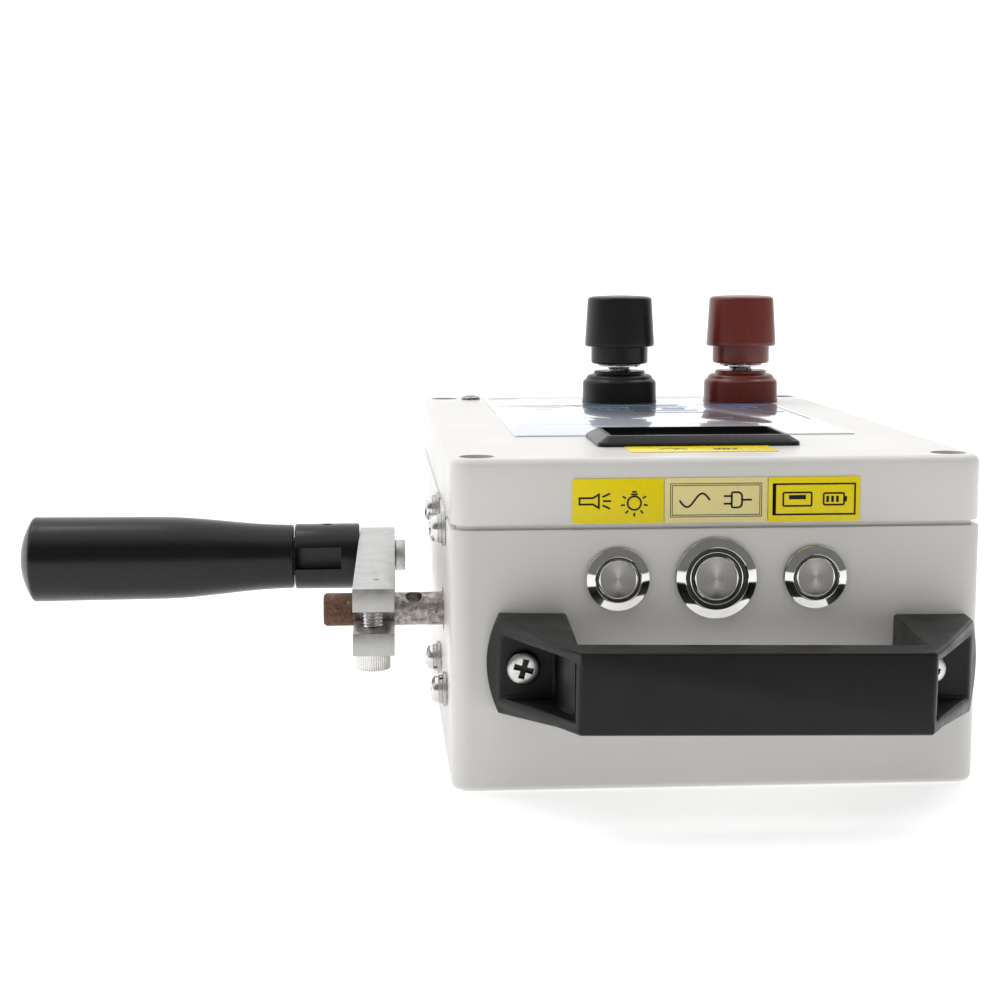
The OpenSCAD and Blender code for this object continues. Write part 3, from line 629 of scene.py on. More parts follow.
# painted shade for the narrow gaps round the switch buttons; its faint brown is a painted reflection of the
# gap walls
GAP_PAINTED_SHADE = plastic("gap_painted_shade", (0.018, 0.014, 0.012), 0.35)
GREY_SCREW = make_polished("grey_screw", (0.36, 0.35, 0.34), 0.28)


# ---- repeated shapes ----

def arc(radius, middle_r, middle_z, start, end, steps=5):
    """Profile points on an arc, angles in degrees from outward towards up."""
    out = []
    for k in range(steps + 1):
        angle = radians(start + (end - start) * k / steps)
        out.append((middle_r + radius * cos(angle), middle_z + radius * sin(angle)))
    return out


def cross_outline(reach, half_width, flare=0.0):
    """A plus shape whose arms end flare wider."""
    w, e = half_width, half_width + flare
    quarter = [(reach, -e), (reach, e), (w, w)]
    out = []
    for k in range(4):
        turn = Matrix.Rotation(pi / 2 * k, 2)
        out += [tuple(turn @ Vector(p)) for p in quarter]
    return out


def pan_screw(name, place, axis, radius, height, shank_r, shank_l, turn=0.0, crown=1.0, cross=0.11):
    """A domed screw head with a cross recess and a short shank; a crown under 1 flattens the dome."""
    base = height * (1 - 0.66 * crown)
    dome = [(radius * cos(radians(a)) ** crown, base + (height - base) * sin(radians(a)))
            for a in (0, 14, 28, 42, 56, 70, 80)]
    profile = [(0, -shank_l), (shank_r - 0.3, -shank_l), (shank_r, -shank_l + 0.3), (shank_r, 0),
               (radius - 0.12, 0), (radius, 0.12)] + dome + [(0, height)]
    screw = lathe(name, profile, place, axis, segments=64)
    cutter = prism("cut", cross_outline(radius * 0.6, radius * cross, radius * 0.03), height * 0.38,
                   height + 1, place, axis)
    core = lathe("cut", [(0, height * 0.3), (radius * 0.2, height * 0.38), (radius * 0.3, height + 1),
                         (0, height + 1)], place, axis, segments=24)
    cut(screw, add(cutter, core))
    screw.matrix_world = screw.matrix_world @ Matrix.Rotation(radians(turn), 4, "Z")
    return screw


def mm(x, y, z):
    return Vector((x, y, z)) * MM


def grounded(spot):
    return Vector((spot.x, spot.y, 0))


def place_of(node, **fixed):
    """The middle of a CAD node, with any axis replaced by a value in millimetres."""
    spot = middle(node)
    for letter, value in fixed.items():
        spot["xyz".index(letter)] = value * MM
    return spot


def corners_of(node, reach, axes=(0, 1)):
    """Centres of four like solids of a node, each reach millimetres inside its box."""
    low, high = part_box(node)
    a, b = axes
    spots = []
    for first in (low[a] + reach * MM, high[a] - reach * MM):
        for second in (low[b] + reach * MM, high[b] - reach * MM):
            spot = (low + high) / 2
            spot[a], spot[b] = first, second
            spots.append(spot)
    return spots


def hole(radius, low, high, place, axis=Z, segments=64):
    """A round cutter."""
    return drum("hole", radius, low, high, place, axis, segments)


# ---- case ----

def case_size():
    low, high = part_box("base_case")
    return (high.x - low.x) / MM, (high.y - low.y) / MM, high.z / MM


CASE_W, CASE_L, SEAM = case_size()
SEAM_GAP = 1.1
LID_LOW = SEAM + SEAM_GAP
REBATE = SEAM - 2.2
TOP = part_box("lid_cover")[1].z / MM
FRONT, BACK, LEFT = -CASE_L / 2, CASE_L / 2, -CASE_W / 2
WALL = 3.0
CORNER = 5.0
RECESS = 8.0
STANDOFF = 26.0
LID_SCREW_R = 3.6
WASHER_R = 4.1
M4_HOLE = 2.05
LAMP_HOLE, SHAFT_HOLE, STUD_HOLE = 12.2, 5.3, 5.1
POST_GAP = 11.4
LID_SPOTS = corners_of("lid_screws", LID_SCREW_R)
WALL_SPOTS = corners_of("wall_flat_washers", WASHER_R, (1, 2))
SHAFT = middle("crank_shaft") / MM
CARRY_LOW = span("carry_handle")[0]
CARRY_OUT = FRONT - CARRY_LOW.y
CARRY_LEGS = ((-1, 54.5, 46.9), (1, 55.8, 43.4))
CARRY_PLATE = 6.5


def carry_turn():
    """The handle's own frame, a little lower at its right end."""
    place = mm(CARRY_LOW.x + CARRY_LEGS[0][1], 0, middle("carry_handle").z / MM)
    return Matrix.Translation(place) @ Matrix.Rotation(radians(0.95), 4, "Y")


def case_ring(inset, height, radius=None):
    """The case's outline drawn in by inset, with its own corners or a given corner radius."""
    if radius is None:
        return rounded_ring(CASE_W, CASE_L, CORNER, inset, height)
    return rounded_ring(CASE_W - 2 * inset, CASE_L - 2 * inset, radius, 0, height)


def pocket(name, inset, radius, low, high):
    return loft(name, [case_ring(inset, low, radius), case_ring(inset, high, radius)])


def build_base():
    edge, draft = 1.6, 0.35
    rings = [case_ring(draft + edge * (1 - sin(radians(a))), edge * (1 - cos(radians(a))))
             for a in range(0, 91, 15)]
    rings += [case_ring(0, SEAM - 0.35), case_ring(0.12, SEAM - 0.1), case_ring(0.35, SEAM)]
    shell = loft("base_shell", rings)
    cut(shell, pocket("cut", WALL, 3, WALL, SEAM + 1))
    standoffs = [mm(x, y, 0) for x in (-44, 44) for y in (22, 74)]
    posts = [drum("post", 5, 1, REBATE, grounded(p)) for p in LID_SPOTS]
    posts += [drum("post", 3.5, 1, STANDOFF, p) for p in standoffs]
    add(shell, join("posts", posts))
    holes = [hole(1.8, 38, 70, grounded(p), segments=32) for p in LID_SPOTS]
    holes += [hole(1.3, STANDOFF - 10, STANDOFF + 4, p, segments=24) for p in standoffs]
    for button, radius in (("light_button", 6.1), ("main_button", 8.1), ("usb_button", 6.1)):
        holes.append(hole(radius, -3, 6, place_of(button, y=FRONT + 3), -Y))
    for side, _, reach in CARRY_LEGS:
        holes.append(hole(M4_HOLE, -3, 6, carry_turn() @ mm(side * reach, FRONT + 3, 0), -Y))
    for spot in WALL_SPOTS:
        holes.append(hole(M4_HOLE, -3, 6, Vector(((LEFT + 3) * MM, spot.y, spot.z)), -X))
    holes.append(hole(SHAFT_HOLE, -3, 6, mm(LEFT + 3, SHAFT.y, SHAFT.z), -X))
    holes.append(hole(LAMP_HOLE, -5, 4, place_of("lamp_lens", y=BACK), Y))
    for socket, w, h in (("outlet_socket", 14, 10.5), ("usb_socket", 8, 9)):
        spot = middle(socket) / MM
        holes.append(block("hole", (spot.x - w, BACK - 6, spot.z - h), (spot.x + w, BACK + 4, spot.z + h)))
    cut(shell, pocket("cut", WALL - 1.4, 3.4, REBATE, SEAM + 1), join("holes", holes))
    piece(shell, "case_plastic", ["base_case"])


def build_lid():
    edge, draw = 1.9, 0.2
    rings = [case_ring(draw + inset, LID_LOW + rise) for inset, rise in ((0.35, 0), (0.12, 0.1), (0, 0.35))]
    rings += [case_ring(draw + edge * (1 - cos(radians(a))), TOP - edge * (1 - sin(radians(a))))
              for a in range(0, 91, 15)]
    shell = loft("lid_shell", rings)
    lip = pocket("lip", WALL - 1.3, 3.3, SEAM - 1.5, LID_LOW + 0.6)
    add(shell, lip)
    cut(shell, pocket("cut", WALL, 3, SEAM - 4, TOP - WALL))
    bosses = [drum("boss", 4.75, SEAM - 1.5, TOP - 1, grounded(p)) for p in LID_SPOTS]
    add(shell, join("bosses", bosses))
    holes = [hole(4, TOP - RECESS, TOP + 2, grounded(p)) for p in LID_SPOTS]
    holes += [hole(1.95, 50, TOP - RECESS + 1, grounded(p), segments=32) for p in LID_SPOTS]
    holes += [hole(STUD_HOLE, TOP - 6, TOP + 2, place_of(knob, z=0)) for knob in ("black_knob", "red_knob")]
    holes.append(hole(1.3, TOP - 6, TOP + 2, place_of("panel_screw", z=0), segments=24))
    holes += [hole(2.45, -10, -1, Vector((LEFT * MM, p.y, p.z)), -X) for p in WALL_SPOTS if p.z > 50 * MM]
    low, high = span("meter_housing")
    holes.append(block("hole", (low.x + 1.3, low.y + 1.3, TOP - 6), (high.x - 1.3, high.y - 1.3, TOP + 2)))
    cut(shell, join("holes", holes))
    piece(shell, "case_plastic", ["lid_cover"])


def build_case_screws():
    screws = [pan_screw("s", Vector((p.x, p.y, (TOP - RECESS) * MM)), Z, 3.6, 2.4, 1.75, 20, turn)
              for p, turn in zip(LID_SPOTS, (20, 65, 10, 50))]
    piece(join("lid_screw_set", screws), "nickel", ["lid_screws"])
    screw = pan_screw("panel_screw_head", place_of("panel_screw", z=TOP), Z, 2.9, 1.3, 1.25, 8, 35)
    piece(screw, "nickel", ["panel_screw"], look=GREY_SCREW)


def ring(name, place, axis, outer, inner, low, high, edge=0.12, segments=64):
    """A flat ring with softened edges."""
    edge = min(edge, (high - low) * 0.3)
    profile = [(inner, low + edge), (inner, high - edge), (inner + edge, high), (outer - edge, high),
               (outer, high - edge), (outer, low + edge), (outer - edge, low), (inner + edge, low)]
    return lathe(name, profile, place, axis, closed=True, segments=segments)


def build_wall_screws():
    spots = [Vector((LEFT * MM, p.y, p.z)) for p in WALL_SPOTS]
    flats = [ring("w", p, -X, WASHER_R, M4_HOLE, 0, 0.8) for p in spots]
    piece(join("wall_flat_washer_set", flats), "zinc", ["wall_flat_washers"])
    splits = []
    for k, p in enumerate(spots):
        lock = ring("w", p, -X, 3.4, M4_HOLE, 0.8, 1.7)
        gap = block("cut", (0.5, -0.3, 0.2), (5, 0.3, 2.4))
        spin, slope = Matrix.Rotation(1.1 + 2.3 * k, 4, "Z"), Matrix.Rotation(0.25, 4, "X")
        gap.matrix_world = lock.matrix_world @ spin @ slope
        splits.append(cut(lock, gap))
    piece(join("wall_lock_washer_set", splits), "zinc", ["wall_lock_washers"])
    heads = [pan_screw("s", p + mm(-1.7, 0, 0), -X, 3.1, 2.1, 1.95, 14, turn)
             for p, turn in zip(spots, (15, 70, 40, 5))]
    piece(join("wall_screw_set", heads), "nickel", ["wall_screws"])


# ---- printed film ----

def ribbon(name, path, width, low, high, place, axis, loop=False):
    """A flat line of even width along a path, as a thin raised print."""
    count = len(path)
    left, right = [], []
    for i, spot in enumerate(path):
        here = Vector(spot)
        before = Vector(path[i - 1]) if (loop or i) else None
        after = Vector(path[(i + 1) % count]) if (loop or i < count - 1) else None
        ahead = (after - here).normalized() if after else (here - before).normalized()
        behind = (here - before).normalized() if before else ahead
        side = Vector((-(ahead + behind).y, (ahead + behind).x)).normalized()
        reach = width / 2 / max(0.4, side.dot(Vector((-ahead.y, ahead.x))))
        left.append(tuple(here + side * reach))
        right.append(tuple(here - side * reach))
    if not loop:
        return prism(name, left + right[::-1], low, high, place, axis)
    points, faces = [], []
    for height in (low, high):
        for edge in (left, right):
            points += [(x * MM, y * MM, height * MM) for x, y in edge]
    for i in range(count):
        n = (i + 1) % count
        a, b, c, d = i, count + i, 3 * count + i, 2 * count + i
        a2, b2, c2, d2 = n, count + n, 3 * count + n, 2 * count + n
        faces += [(a, b, b2, a2), (d, c, c2, d2), (a, a2, d2, d), (b, b2, c2, c)]
    return from_faces(name, points, faces, place, axis)


def frame_path(w, h, r=0.0):
    corners = [(-w / 2, -h / 2, r), (w / 2, -h / 2, r), (w / 2, h / 2, r), (-w / 2, h / 2, r)]
    return fillet(corners, steps=3)


def circle_path(radius, x=0.0, y=0.0, start=0.0, end=360.0, steps=32):
    full = abs(end - start) >= 360
    count = steps if full else steps + 1
    return [(x + radius * cos(radians(start + (end - start) * k / steps)),
             y + radius * sin(radians(start + (end - start) * k / steps))) for k in range(count)]


def shifted(path, x, y):
    return [(a + x, b + y) for a, b in path]


def stroke(*points, factor=1.0):
    """An open line whose width is a factor of its icon's."""
    return list(points), factor, False


def outline(path):
    return path, 1.0, True


def rays(inner, outer, angles, y):
    """Strokes that fan out from (0, y)."""
    ends = [(cos(radians(a)), sin(radians(a))) for a in angles]
    return [stroke((inner * c, y + inner * s), (outer * c, y + outer * s)) for c, s in ends]


def icon(marks, x, y, line):
    """An icon drawn about the origin, moved and given its line width."""
    return [(shifted(path, x, y), line * factor, loop) for path, factor, loop in marks]


LAMP = [outline(circle_path(1.5, 0, -0.5)), stroke((-0.75, 1.45), (0.75, 1.45)),
        stroke((-0.55, 2.0), (0.55, 2.0)), *rays(2.15, 3.0, range(150, 391, 40), -0.5)]
TORCH = [outline([(-3.4, -0.7), (-0.4, -0.7), (0.9, -1.5), (0.9, 1.5), (-0.4, 0.7), (-3.4, 0.7)]),
         stroke((1.8, 0), (3.6, 0)), *(stroke((1.7, s * 0.9), (3.4, s * 1.7)) for s in (-1, 1))]
WAVE = [stroke(*((3.4 * k / 20, 1.5 * sin(pi * k / 20)) for k in range(-20, 21)))]
PLUG = [outline(fillet([(-1.3, -1.7, 0.3), (1.0, -1.7, 0.9), (1.0, 1.7, 0.9), (-1.3, 1.7, 0.3)], steps=3)),
        stroke((1.0, 0), (3.2, 0)), *(stroke((-3.1, y), (-1.3, y)) for y in (-0.85, 0.85))]
PORT = [outline(frame_path(6.4, 3.0, 0.3)), stroke((-1.9, 0.45), (1.9, 0.45), factor=2.4)]
BATTERY = [outline(frame_path(4.6, 2.6, 0.3)), stroke((2.7, -0.6), (2.7, 0.6), factor=1.3),
           *(stroke((x, -0.7), (x, 0.7), factor=1.5) for x in (-1.4, -0.3, 0.8))]
GAUGE = [(circle_path(3.3, 0, -1.3, 15, 165, 16), 1.0, False), stroke((0, -1.3), (1.2, 1.0)),
         *rays(2.5, 3.3, range(30, 151, 30), -1.3)]


def print_marks(name, marks, low, place, axis, ink=None, slot="label_film"):
    lines = [ribbon("line", path, width, low - 0.04, low + 0.025, place, axis, loop)
             for path, width, loop in marks]
    return piece(join(name, lines), slot, look=ink or INK)


def film(name, w, h, thick, place, axis, look, slot="label_film", stands_for=()):
    """A label cut from film, centred on place, with softened corners."""
    plate = prism(name, frame_path(w, h, 0.35), 0, thick, place, axis)
    bevel(plate, 0.04, 2)
    return piece(plate, slot, stands_for, look=look)


def build_labels():
    front_z = 65.6
    yellow = LOOK["label_film"]
    spans = (("light_label", -32.8, -12.5, yellow, ["labels"]), ("main_label", -12.3, 10.7, CREAM_FILM, ()),
             ("usb_label", 10.9, 31.6, yellow, ()))
    for name, left, right, look, stands_for in spans:
        film(name, right - left, 10, 0.15, mm((left + right) / 2, FRONT, front_z), -Y, look,
             stands_for=stands_for)
    print_marks("light_label_print", icon(TORCH, -5.2, 0, 0.42) + icon(LAMP, 3.6, 0, 0.4), 0.15,
                mm(-22.65, FRONT, front_z), -Y)
    inner = [(frame_path(20.4, 7.4), 0.16, True), (frame_path(19.6, 6.6), 0.16, True)]
    print_marks("main_label_print", inner + icon(WAVE, -4.8, 0, 0.42) + icon(PLUG, 4.8, 0, 0.42), 0.15,
                mm(-0.8, FRONT, front_z), -Y)
    border = [(frame_path(18.3, 6.8), 0.4, True), ([(-9.0, -3.4), (-9.0, 3.4)], 0.8, False)]
    print_marks("usb_label_print", border + icon(PORT, -3.8, 0, 0.4) + icon(BATTERY, 4.4, 0, 0.4), 0.15,
                mm(21.25, FRONT, front_z), -Y)
    meter_label = mm(-1, -80.45, TOP)
    film("meter_label", 34, 13.1, 0.15, meter_label, Z, yellow)
    print_marks("meter_label_print", icon(GAUGE, -6.5, -0.6, 0.45) + icon(BATTERY, 5.5, -0.6, 0.45), 0.15,
                meter_label, Z)


def build_sheet():
    low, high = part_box("top_sheet")
    centre = Vector(((low.x + high.x) / 2, (low.y + high.y) / 2, low.z))
    w, l = (high.x - low.x) / MM, (high.y - low.y) / MM
    sheet = prism("top_sheet_plate", frame_path(w, l, 0.8), 0, 0.25, centre, Z)
    posts = [place_of(knob, z=TOP) for knob in ("black_knob", "red_knob")]
    cut(sheet, join("holes", [hole(POST_GAP, -2, 3, p) for p in posts]))
    bevel(sheet, 0.06, 2)
    piece(sheet, "sheet_film", ["top_sheet"])
    edge = [(frame_path(w - 2.4, l - 2.4), 0.3, True)]
    for y in (-34, 6, 34):
        edge.append(([(-w / 2 + 3, y), (w / 2 - 3, y)], 0.3, False))
    print_marks("sheet_lines", edge, 0.25, centre, Z, LAVENDER_INK, "sheet_film")
    ink = []
    for marks, x in ((LAMP, -28), (PLUG, -9), (PORT, 10), (BATTERY, 29)):
        ink += [(shifted(frame_path(13, 13, 2.5), x, 20), 0.35, True)] + icon(marks, x, 20, 0.4)
    ink += icon(GAUGE, -18, -14, 0.45) + icon(WAVE, 18, -14, 0.45)
    print_marks("sheet_icons", ink, 0.25, centre, Z, BLUE_INK, "sheet_film")
    for name, p, look in (("black_field", posts[0], BLUE_INK), ("red_field", posts[1], LAVENDER_INK)):
        side = min(17.0, (high.x - p.x) / MM - 1.6)
        corners = fillet([(-17, -17, 1), (side, -17, 1), (side, 8, 1), (-17, 8, 1)], steps=3)
        field = prism(name, corners, 0.2, 0.27, p, Z)
        cut(field, hole(POST_GAP, -2, 3, p))
        piece(field, "sheet_film", look=look)
        print_marks(name + "_line", [([(-16, -15.4), (side - 1, -15.4)], 0.5, False)], 0.27, p, Z, GREEN_INK,
                    "sheet_film")


# ---- carry handle ----

def carry_side(bar, foot):
    """Side profile whose half height changes evenly from the bar to the foot."""
    front = FRONT - CARRY_OUT
    view = [(FRONT, foot), (front + 8, bar), (front, bar), (front, -bar), (front + 8, -bar), (FRONT, -foot)]
    return loft("side", [[(x, y, z) for y, z in view] for x in (-70, 70)])


def build_carry_leg(side, out, reach):
    """A hollow leg, open on its sloping outer side."""
    front = FRONT - CARRY_OUT
    plan = [(-37.2, front), (-out, FRONT - 1.5), (-out, FRONT), (-36.8, FRONT), (-36.8, front)]
    leg = prism("leg", [(-side * x, y) for x, y in plan], -12, 12)
    keep(leg, carry_side(8.9, 11))
    keep(leg, drum("outside", 24, -1, CARRY_OUT + 1, mm(side * (out - 24), FRONT, 0), -Y, 160))
    hollow = fillet([(-70, FRONT - CARRY_PLATE, 0), (-39.6, FRONT - CARRY_PLATE, 1.2),
                     (-39.2, front + 14.5, 6), (-37.4, front + 6.5, 2), (-37, front + 3, 1),
                     (-37.8, front + 2, 0.6), (-70, front + 2, 0)])
    hollow = keep(prism("hollow", [(-side * x, y) for x, y in hollow], -12, 12), carry_side(6.4, 7.05))
    return cut(leg, hollow, hole(M4_HOLE, -1, 12, mm(side * reach, FRONT, 0), -Y))


def build_carry_handle():
    bar = block("bar", (-36.8, FRONT - CARRY_OUT, -8.9), (36.8, FRONT - CARRY_OUT + 8, 8.9))
    handle = add(*(build_carry_leg(*leg) for leg in CARRY_LEGS), bar)
    handle.name = "carry_handle_body"
    soften(handle, 0.8, 5)
    screws = [pan_screw("s", mm(side * reach, FRONT - CARRY_PLATE, 0), -Y, 3.7, 2.3, 1.95, 15.5,
                        30 - 45 * side, 0.45, 0.16) for side, _, reach in CARRY_LEGS]
    screws = join("handle_screw_set", screws)
    for obj in (handle, screws):
        obj.matrix_world = carry_turn() @ obj.matrix_world
    piece(handle, "black_plastic", ["carry_handle"], sharp=50)
    # the handle screws carry painted shade in their cross recesses and round their rims
    piece(screws, "nickel", ["handle_screws"], look=SUNK_SCREW_PAINTED_SHADE)


# ---- switches ----

def build_switch(name, button, body, flange_r, thread_r, ring_r, button_r, depth, stands_for):
    """A round metal push switch: polished dished flange, a dark ring of painted shade in the gap, and a spun
    button in a bright rim.
    """
    place = place_of(button, y=FRONT)
    profile = [(0, -depth), (thread_r * 0.8, -depth), (thread_r * 0.8, -depth + 5),
               (thread_r - 0.3, -depth + 5), (thread_r, -depth + 5.3), (thread_r, 0.6), (flange_r - 0.25, 0.6),
               (flange_r, 0.85), (flange_r, 1.2), (flange_r - 0.12, 1.38), (flange_r - 0.3, 1.45),
               (ring_r + 0.3, 2.15), (ring_r + 0.12, 2.2), (ring_r, 2.1), (ring_r, 1.2), (button_r + 0.1, 1.2),
               (button_r + 0.1, -3.8), (0, -3.8)]
    shell = lathe(name + "_body", profile, place, -Y, segments=128)
    piece(shell, "nickel", stands_for, look=POLISHED, sharp=20)
    # painted shade: a dark ring is laid in the gap between the flange and the button, where the narrow gap is
    # in shade
    gap_shade_ring = ring(name + "_sleeve", place, -Y, ring_r - 0.02, button_r + 0.12, 0.9, 1.3, 0.06, 96)
    piece(gap_shade_ring, "rubber", look=GAP_PAINTED_SHADE)
    top = 1.6
    face = [(0, -0.6), (button_r - 0.1, -0.6), (button_r, -0.5), (button_r, top - 0.38),
            (button_r - 0.14, top - 0.3), (button_r - 0.4, top - 0.28), (0, top - 0.16)]
    piece(lathe(name + "_button_face", face, place, -Y, segments=96), "button_steel", [button], body=body,
          sharp=20)
    rim = [(button_r - 0.5, top - 0.42), (button_r - 0.42, top - 0.06), (button_r - 0.3, top),
           (button_r - 0.16, top - 0.02), (button_r - 0.02, top - 0.2), (button_r - 0.01, top - 0.42)]
    piece(lathe(name + "_button_rim", rim, place, -Y, closed=True, segments=96), "nickel", look=POLISHED,
          body=body, sharp=50)


def build_switches():
    build_switch("light_switch", "light_button", "light_button_body", 7.1, 5.95, 5.1, 4.4, 20,
                 ["small_switch_bodies"])
    build_switch("usb_switch", "usb_button", "usb_button_body", 7.1, 5.95, 5.1, 4.4, 20, ())
    build_switch("main_switch", "main_button", "main_button_body", 9.1, 7.95, 6.95, 5.0, 24,
                 ["main_switch_body"])
    place = place_of("main_button", y=FRONT)
    # the inner and outer rings are painted shade in the gaps either side of the polished halo
    for name, outer, inner, low, high, edge, slot, look, sharp in (
            ("halo", 6.02, 5.66, 1.15, 1.5, 0.08, "nickel", POLISHED, 50),
            ("inner_ring", 5.62, 5.13, 1.1, 1.62, 0.1, "rubber", GAP_PAINTED_SHADE, 35),
            ("outer_ring", 6.92, 6.06, 1.1, 1.7, 0.12, "rubber", GAP_PAINTED_SHADE, 35)):
        band = ring("main_switch_" + name, place, -Y, outer, inner, low, high, edge, 96)
        piece(band, slot, look=look, sharp=sharp)


# ---- meter ----

def build_meter():
    low, high = span("meter_housing")
    w, l = high.x - low.x, high.y - low.y
    middle_x, middle_y, rise = (low.x + high.x) / 2, (low.y + high.y) / 2, high.z

    def level(wide, long, radius, height):
        return [(x + middle_x, y + middle_y, z) for x, y, z in rounded_ring(wide, long, radius, 0, height)]

    bezel = loft("meter_bezel", [
        level(w - 3, l - 3, 1.0, low.z), level(w - 3, l - 3, 1.0, TOP), level(w, l, 2.2, TOP),
        level(w, l, 2.2, TOP + 0.7), level(w - 0.4, l - 0.4, 2.0, TOP + 1.0),
        level(w - 4.4, l - 4.4, 1.2, rise - 0.25), level(w - 4.9, l - 4.9, 1.0, rise - 0.05),
        level(w - 5.4, l - 5.4, 1.0, rise)])
    cut(bezel, loft("cut", [level(w - 7, l - 7, 0.5, low.z + 1.5), level(w - 7, l - 7, 0.5, rise + 1)]))
    piece(bezel, "black_plastic", ["meter_housing"], look=LOOK["post_black"], sharp=25)
    window = loft("meter_window_plate", [
        level(w - 7.1, l - 7.1, 0.5, TOP - 0.4), level(w - 7.1, l - 7.1, 0.5, TOP + 1.05),
        level(w - 7.5, l - 7.5, 0.5, TOP + 1.2)])
    piece(window, "meter_glass", ["meter_window"], sharp=20)


# ---- binding posts ----

def thread(pitch, depth, low, high):
    """A radius factor that winds a V groove between two heights."""
    def factor(angle, height):
        if not low < height < high:
            return 1.0
        turn = (height / pitch - angle / (2 * pi)) % 1.0
        return 1.0 - depth * (1 - abs(2 * turn - 1))
    return factor


def heights(low, high, step):
    count = max(1, round((high - low) / step))
    return [low + (high - low) * k / count for k in range(count + 1)]


def build_post(colour, body_knob, body_clamp):
    place = place_of(colour + "_knob", z=TOP)
    slot = "post_" + colour
    base = [(3.55, -5), (4.8, -5), (5, -4.8), (5, 0), (11.0, 0), (11.35, 0.25), (11.35, 0.6), (11.2, 1.1),
            (11.15, 5.9), (11.0, 6.5), (10.6, 6.95), (10.35, 7.1)]
    base += arc(1.6, 8.55, 7.0, 15, 80, 6) + [(8.2, 8.7), (7.95, 8.8), (7.75, 9.0), (7.75, 9.45), (7.5, 9.7),
                                             (3.55, 9.7)]
    piece(lathe(colour + "_post_base_body", base, place, Z, closed=True, segments=128), slot,
          [colour + "_post_base"], sharp=28)
    collar, cap, top = 11.8, 17.1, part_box(colour + "_knob")[1].z / MM - TOP
    knob = [(0, collar + 19), (3.6, collar + 18.8), (3.6, collar), (7.7, collar), (8.25, collar + 0.15),
            (8.55, collar + 0.5), (8.6, collar + 1), (8.6, cap - 0.25), (8.75, cap), (10.1, cap),
            (10.4, cap + 0.15), (10.52, cap + 0.5), (10.5, cap + 1.2), (9.72, top - 1.5)]
    knob += arc(1.0, 8.72, top - 1.45, 12, 78, 5) + [(8.3, top - 0.32), (6.0, top - 0.14), (3.0, top - 0.03),
                                                   (0, top)]
    piece(lathe(colour + "_knob_body", knob, place, Z, segments=128), slot, [colour + "_knob"],
          body=body_knob, sharp=28)
    washer = ring(colour + "_washer_ring", place, Z, 6.5, 3.75, 11.02, 11.52, 0.1)
    tilt = Matrix.Rotation(radians(0.8), 4, "X")
    lift = Matrix.Translation(mm(0, 0, 11.27))
    washer.data.transform(lift @ tilt @ lift.inverted())
    piece(washer, "zinc", [colour + "_washer"], look=LOOK["nickel"], body=body_clamp)


def build_posts():
    build_post("black", "black_cap", "black_clamp")
    build_post("red", "red_cap", "red_clamp")
    studs = []
    for knob in ("black_knob", "red_knob"):
        profile = [(0, -22), (3.1, -22), (3.5, -21.6)] + [(3.5, h) for h in heights(7.8, 16.8, 1 / 7)]
        profile += [(3.5, 28.1), (3.1, 28.5), (0, 28.5)]
        studs.append(lathe("stud", profile, place_of(knob, z=TOP), Z, segments=40,
                           ripple=thread(1.0, 0.13, 8, 16.6)))
    piece(join("post_stud_set", studs), "brass", ["post_studs"], look=LOOK["nickel"])


# ---- crank ----

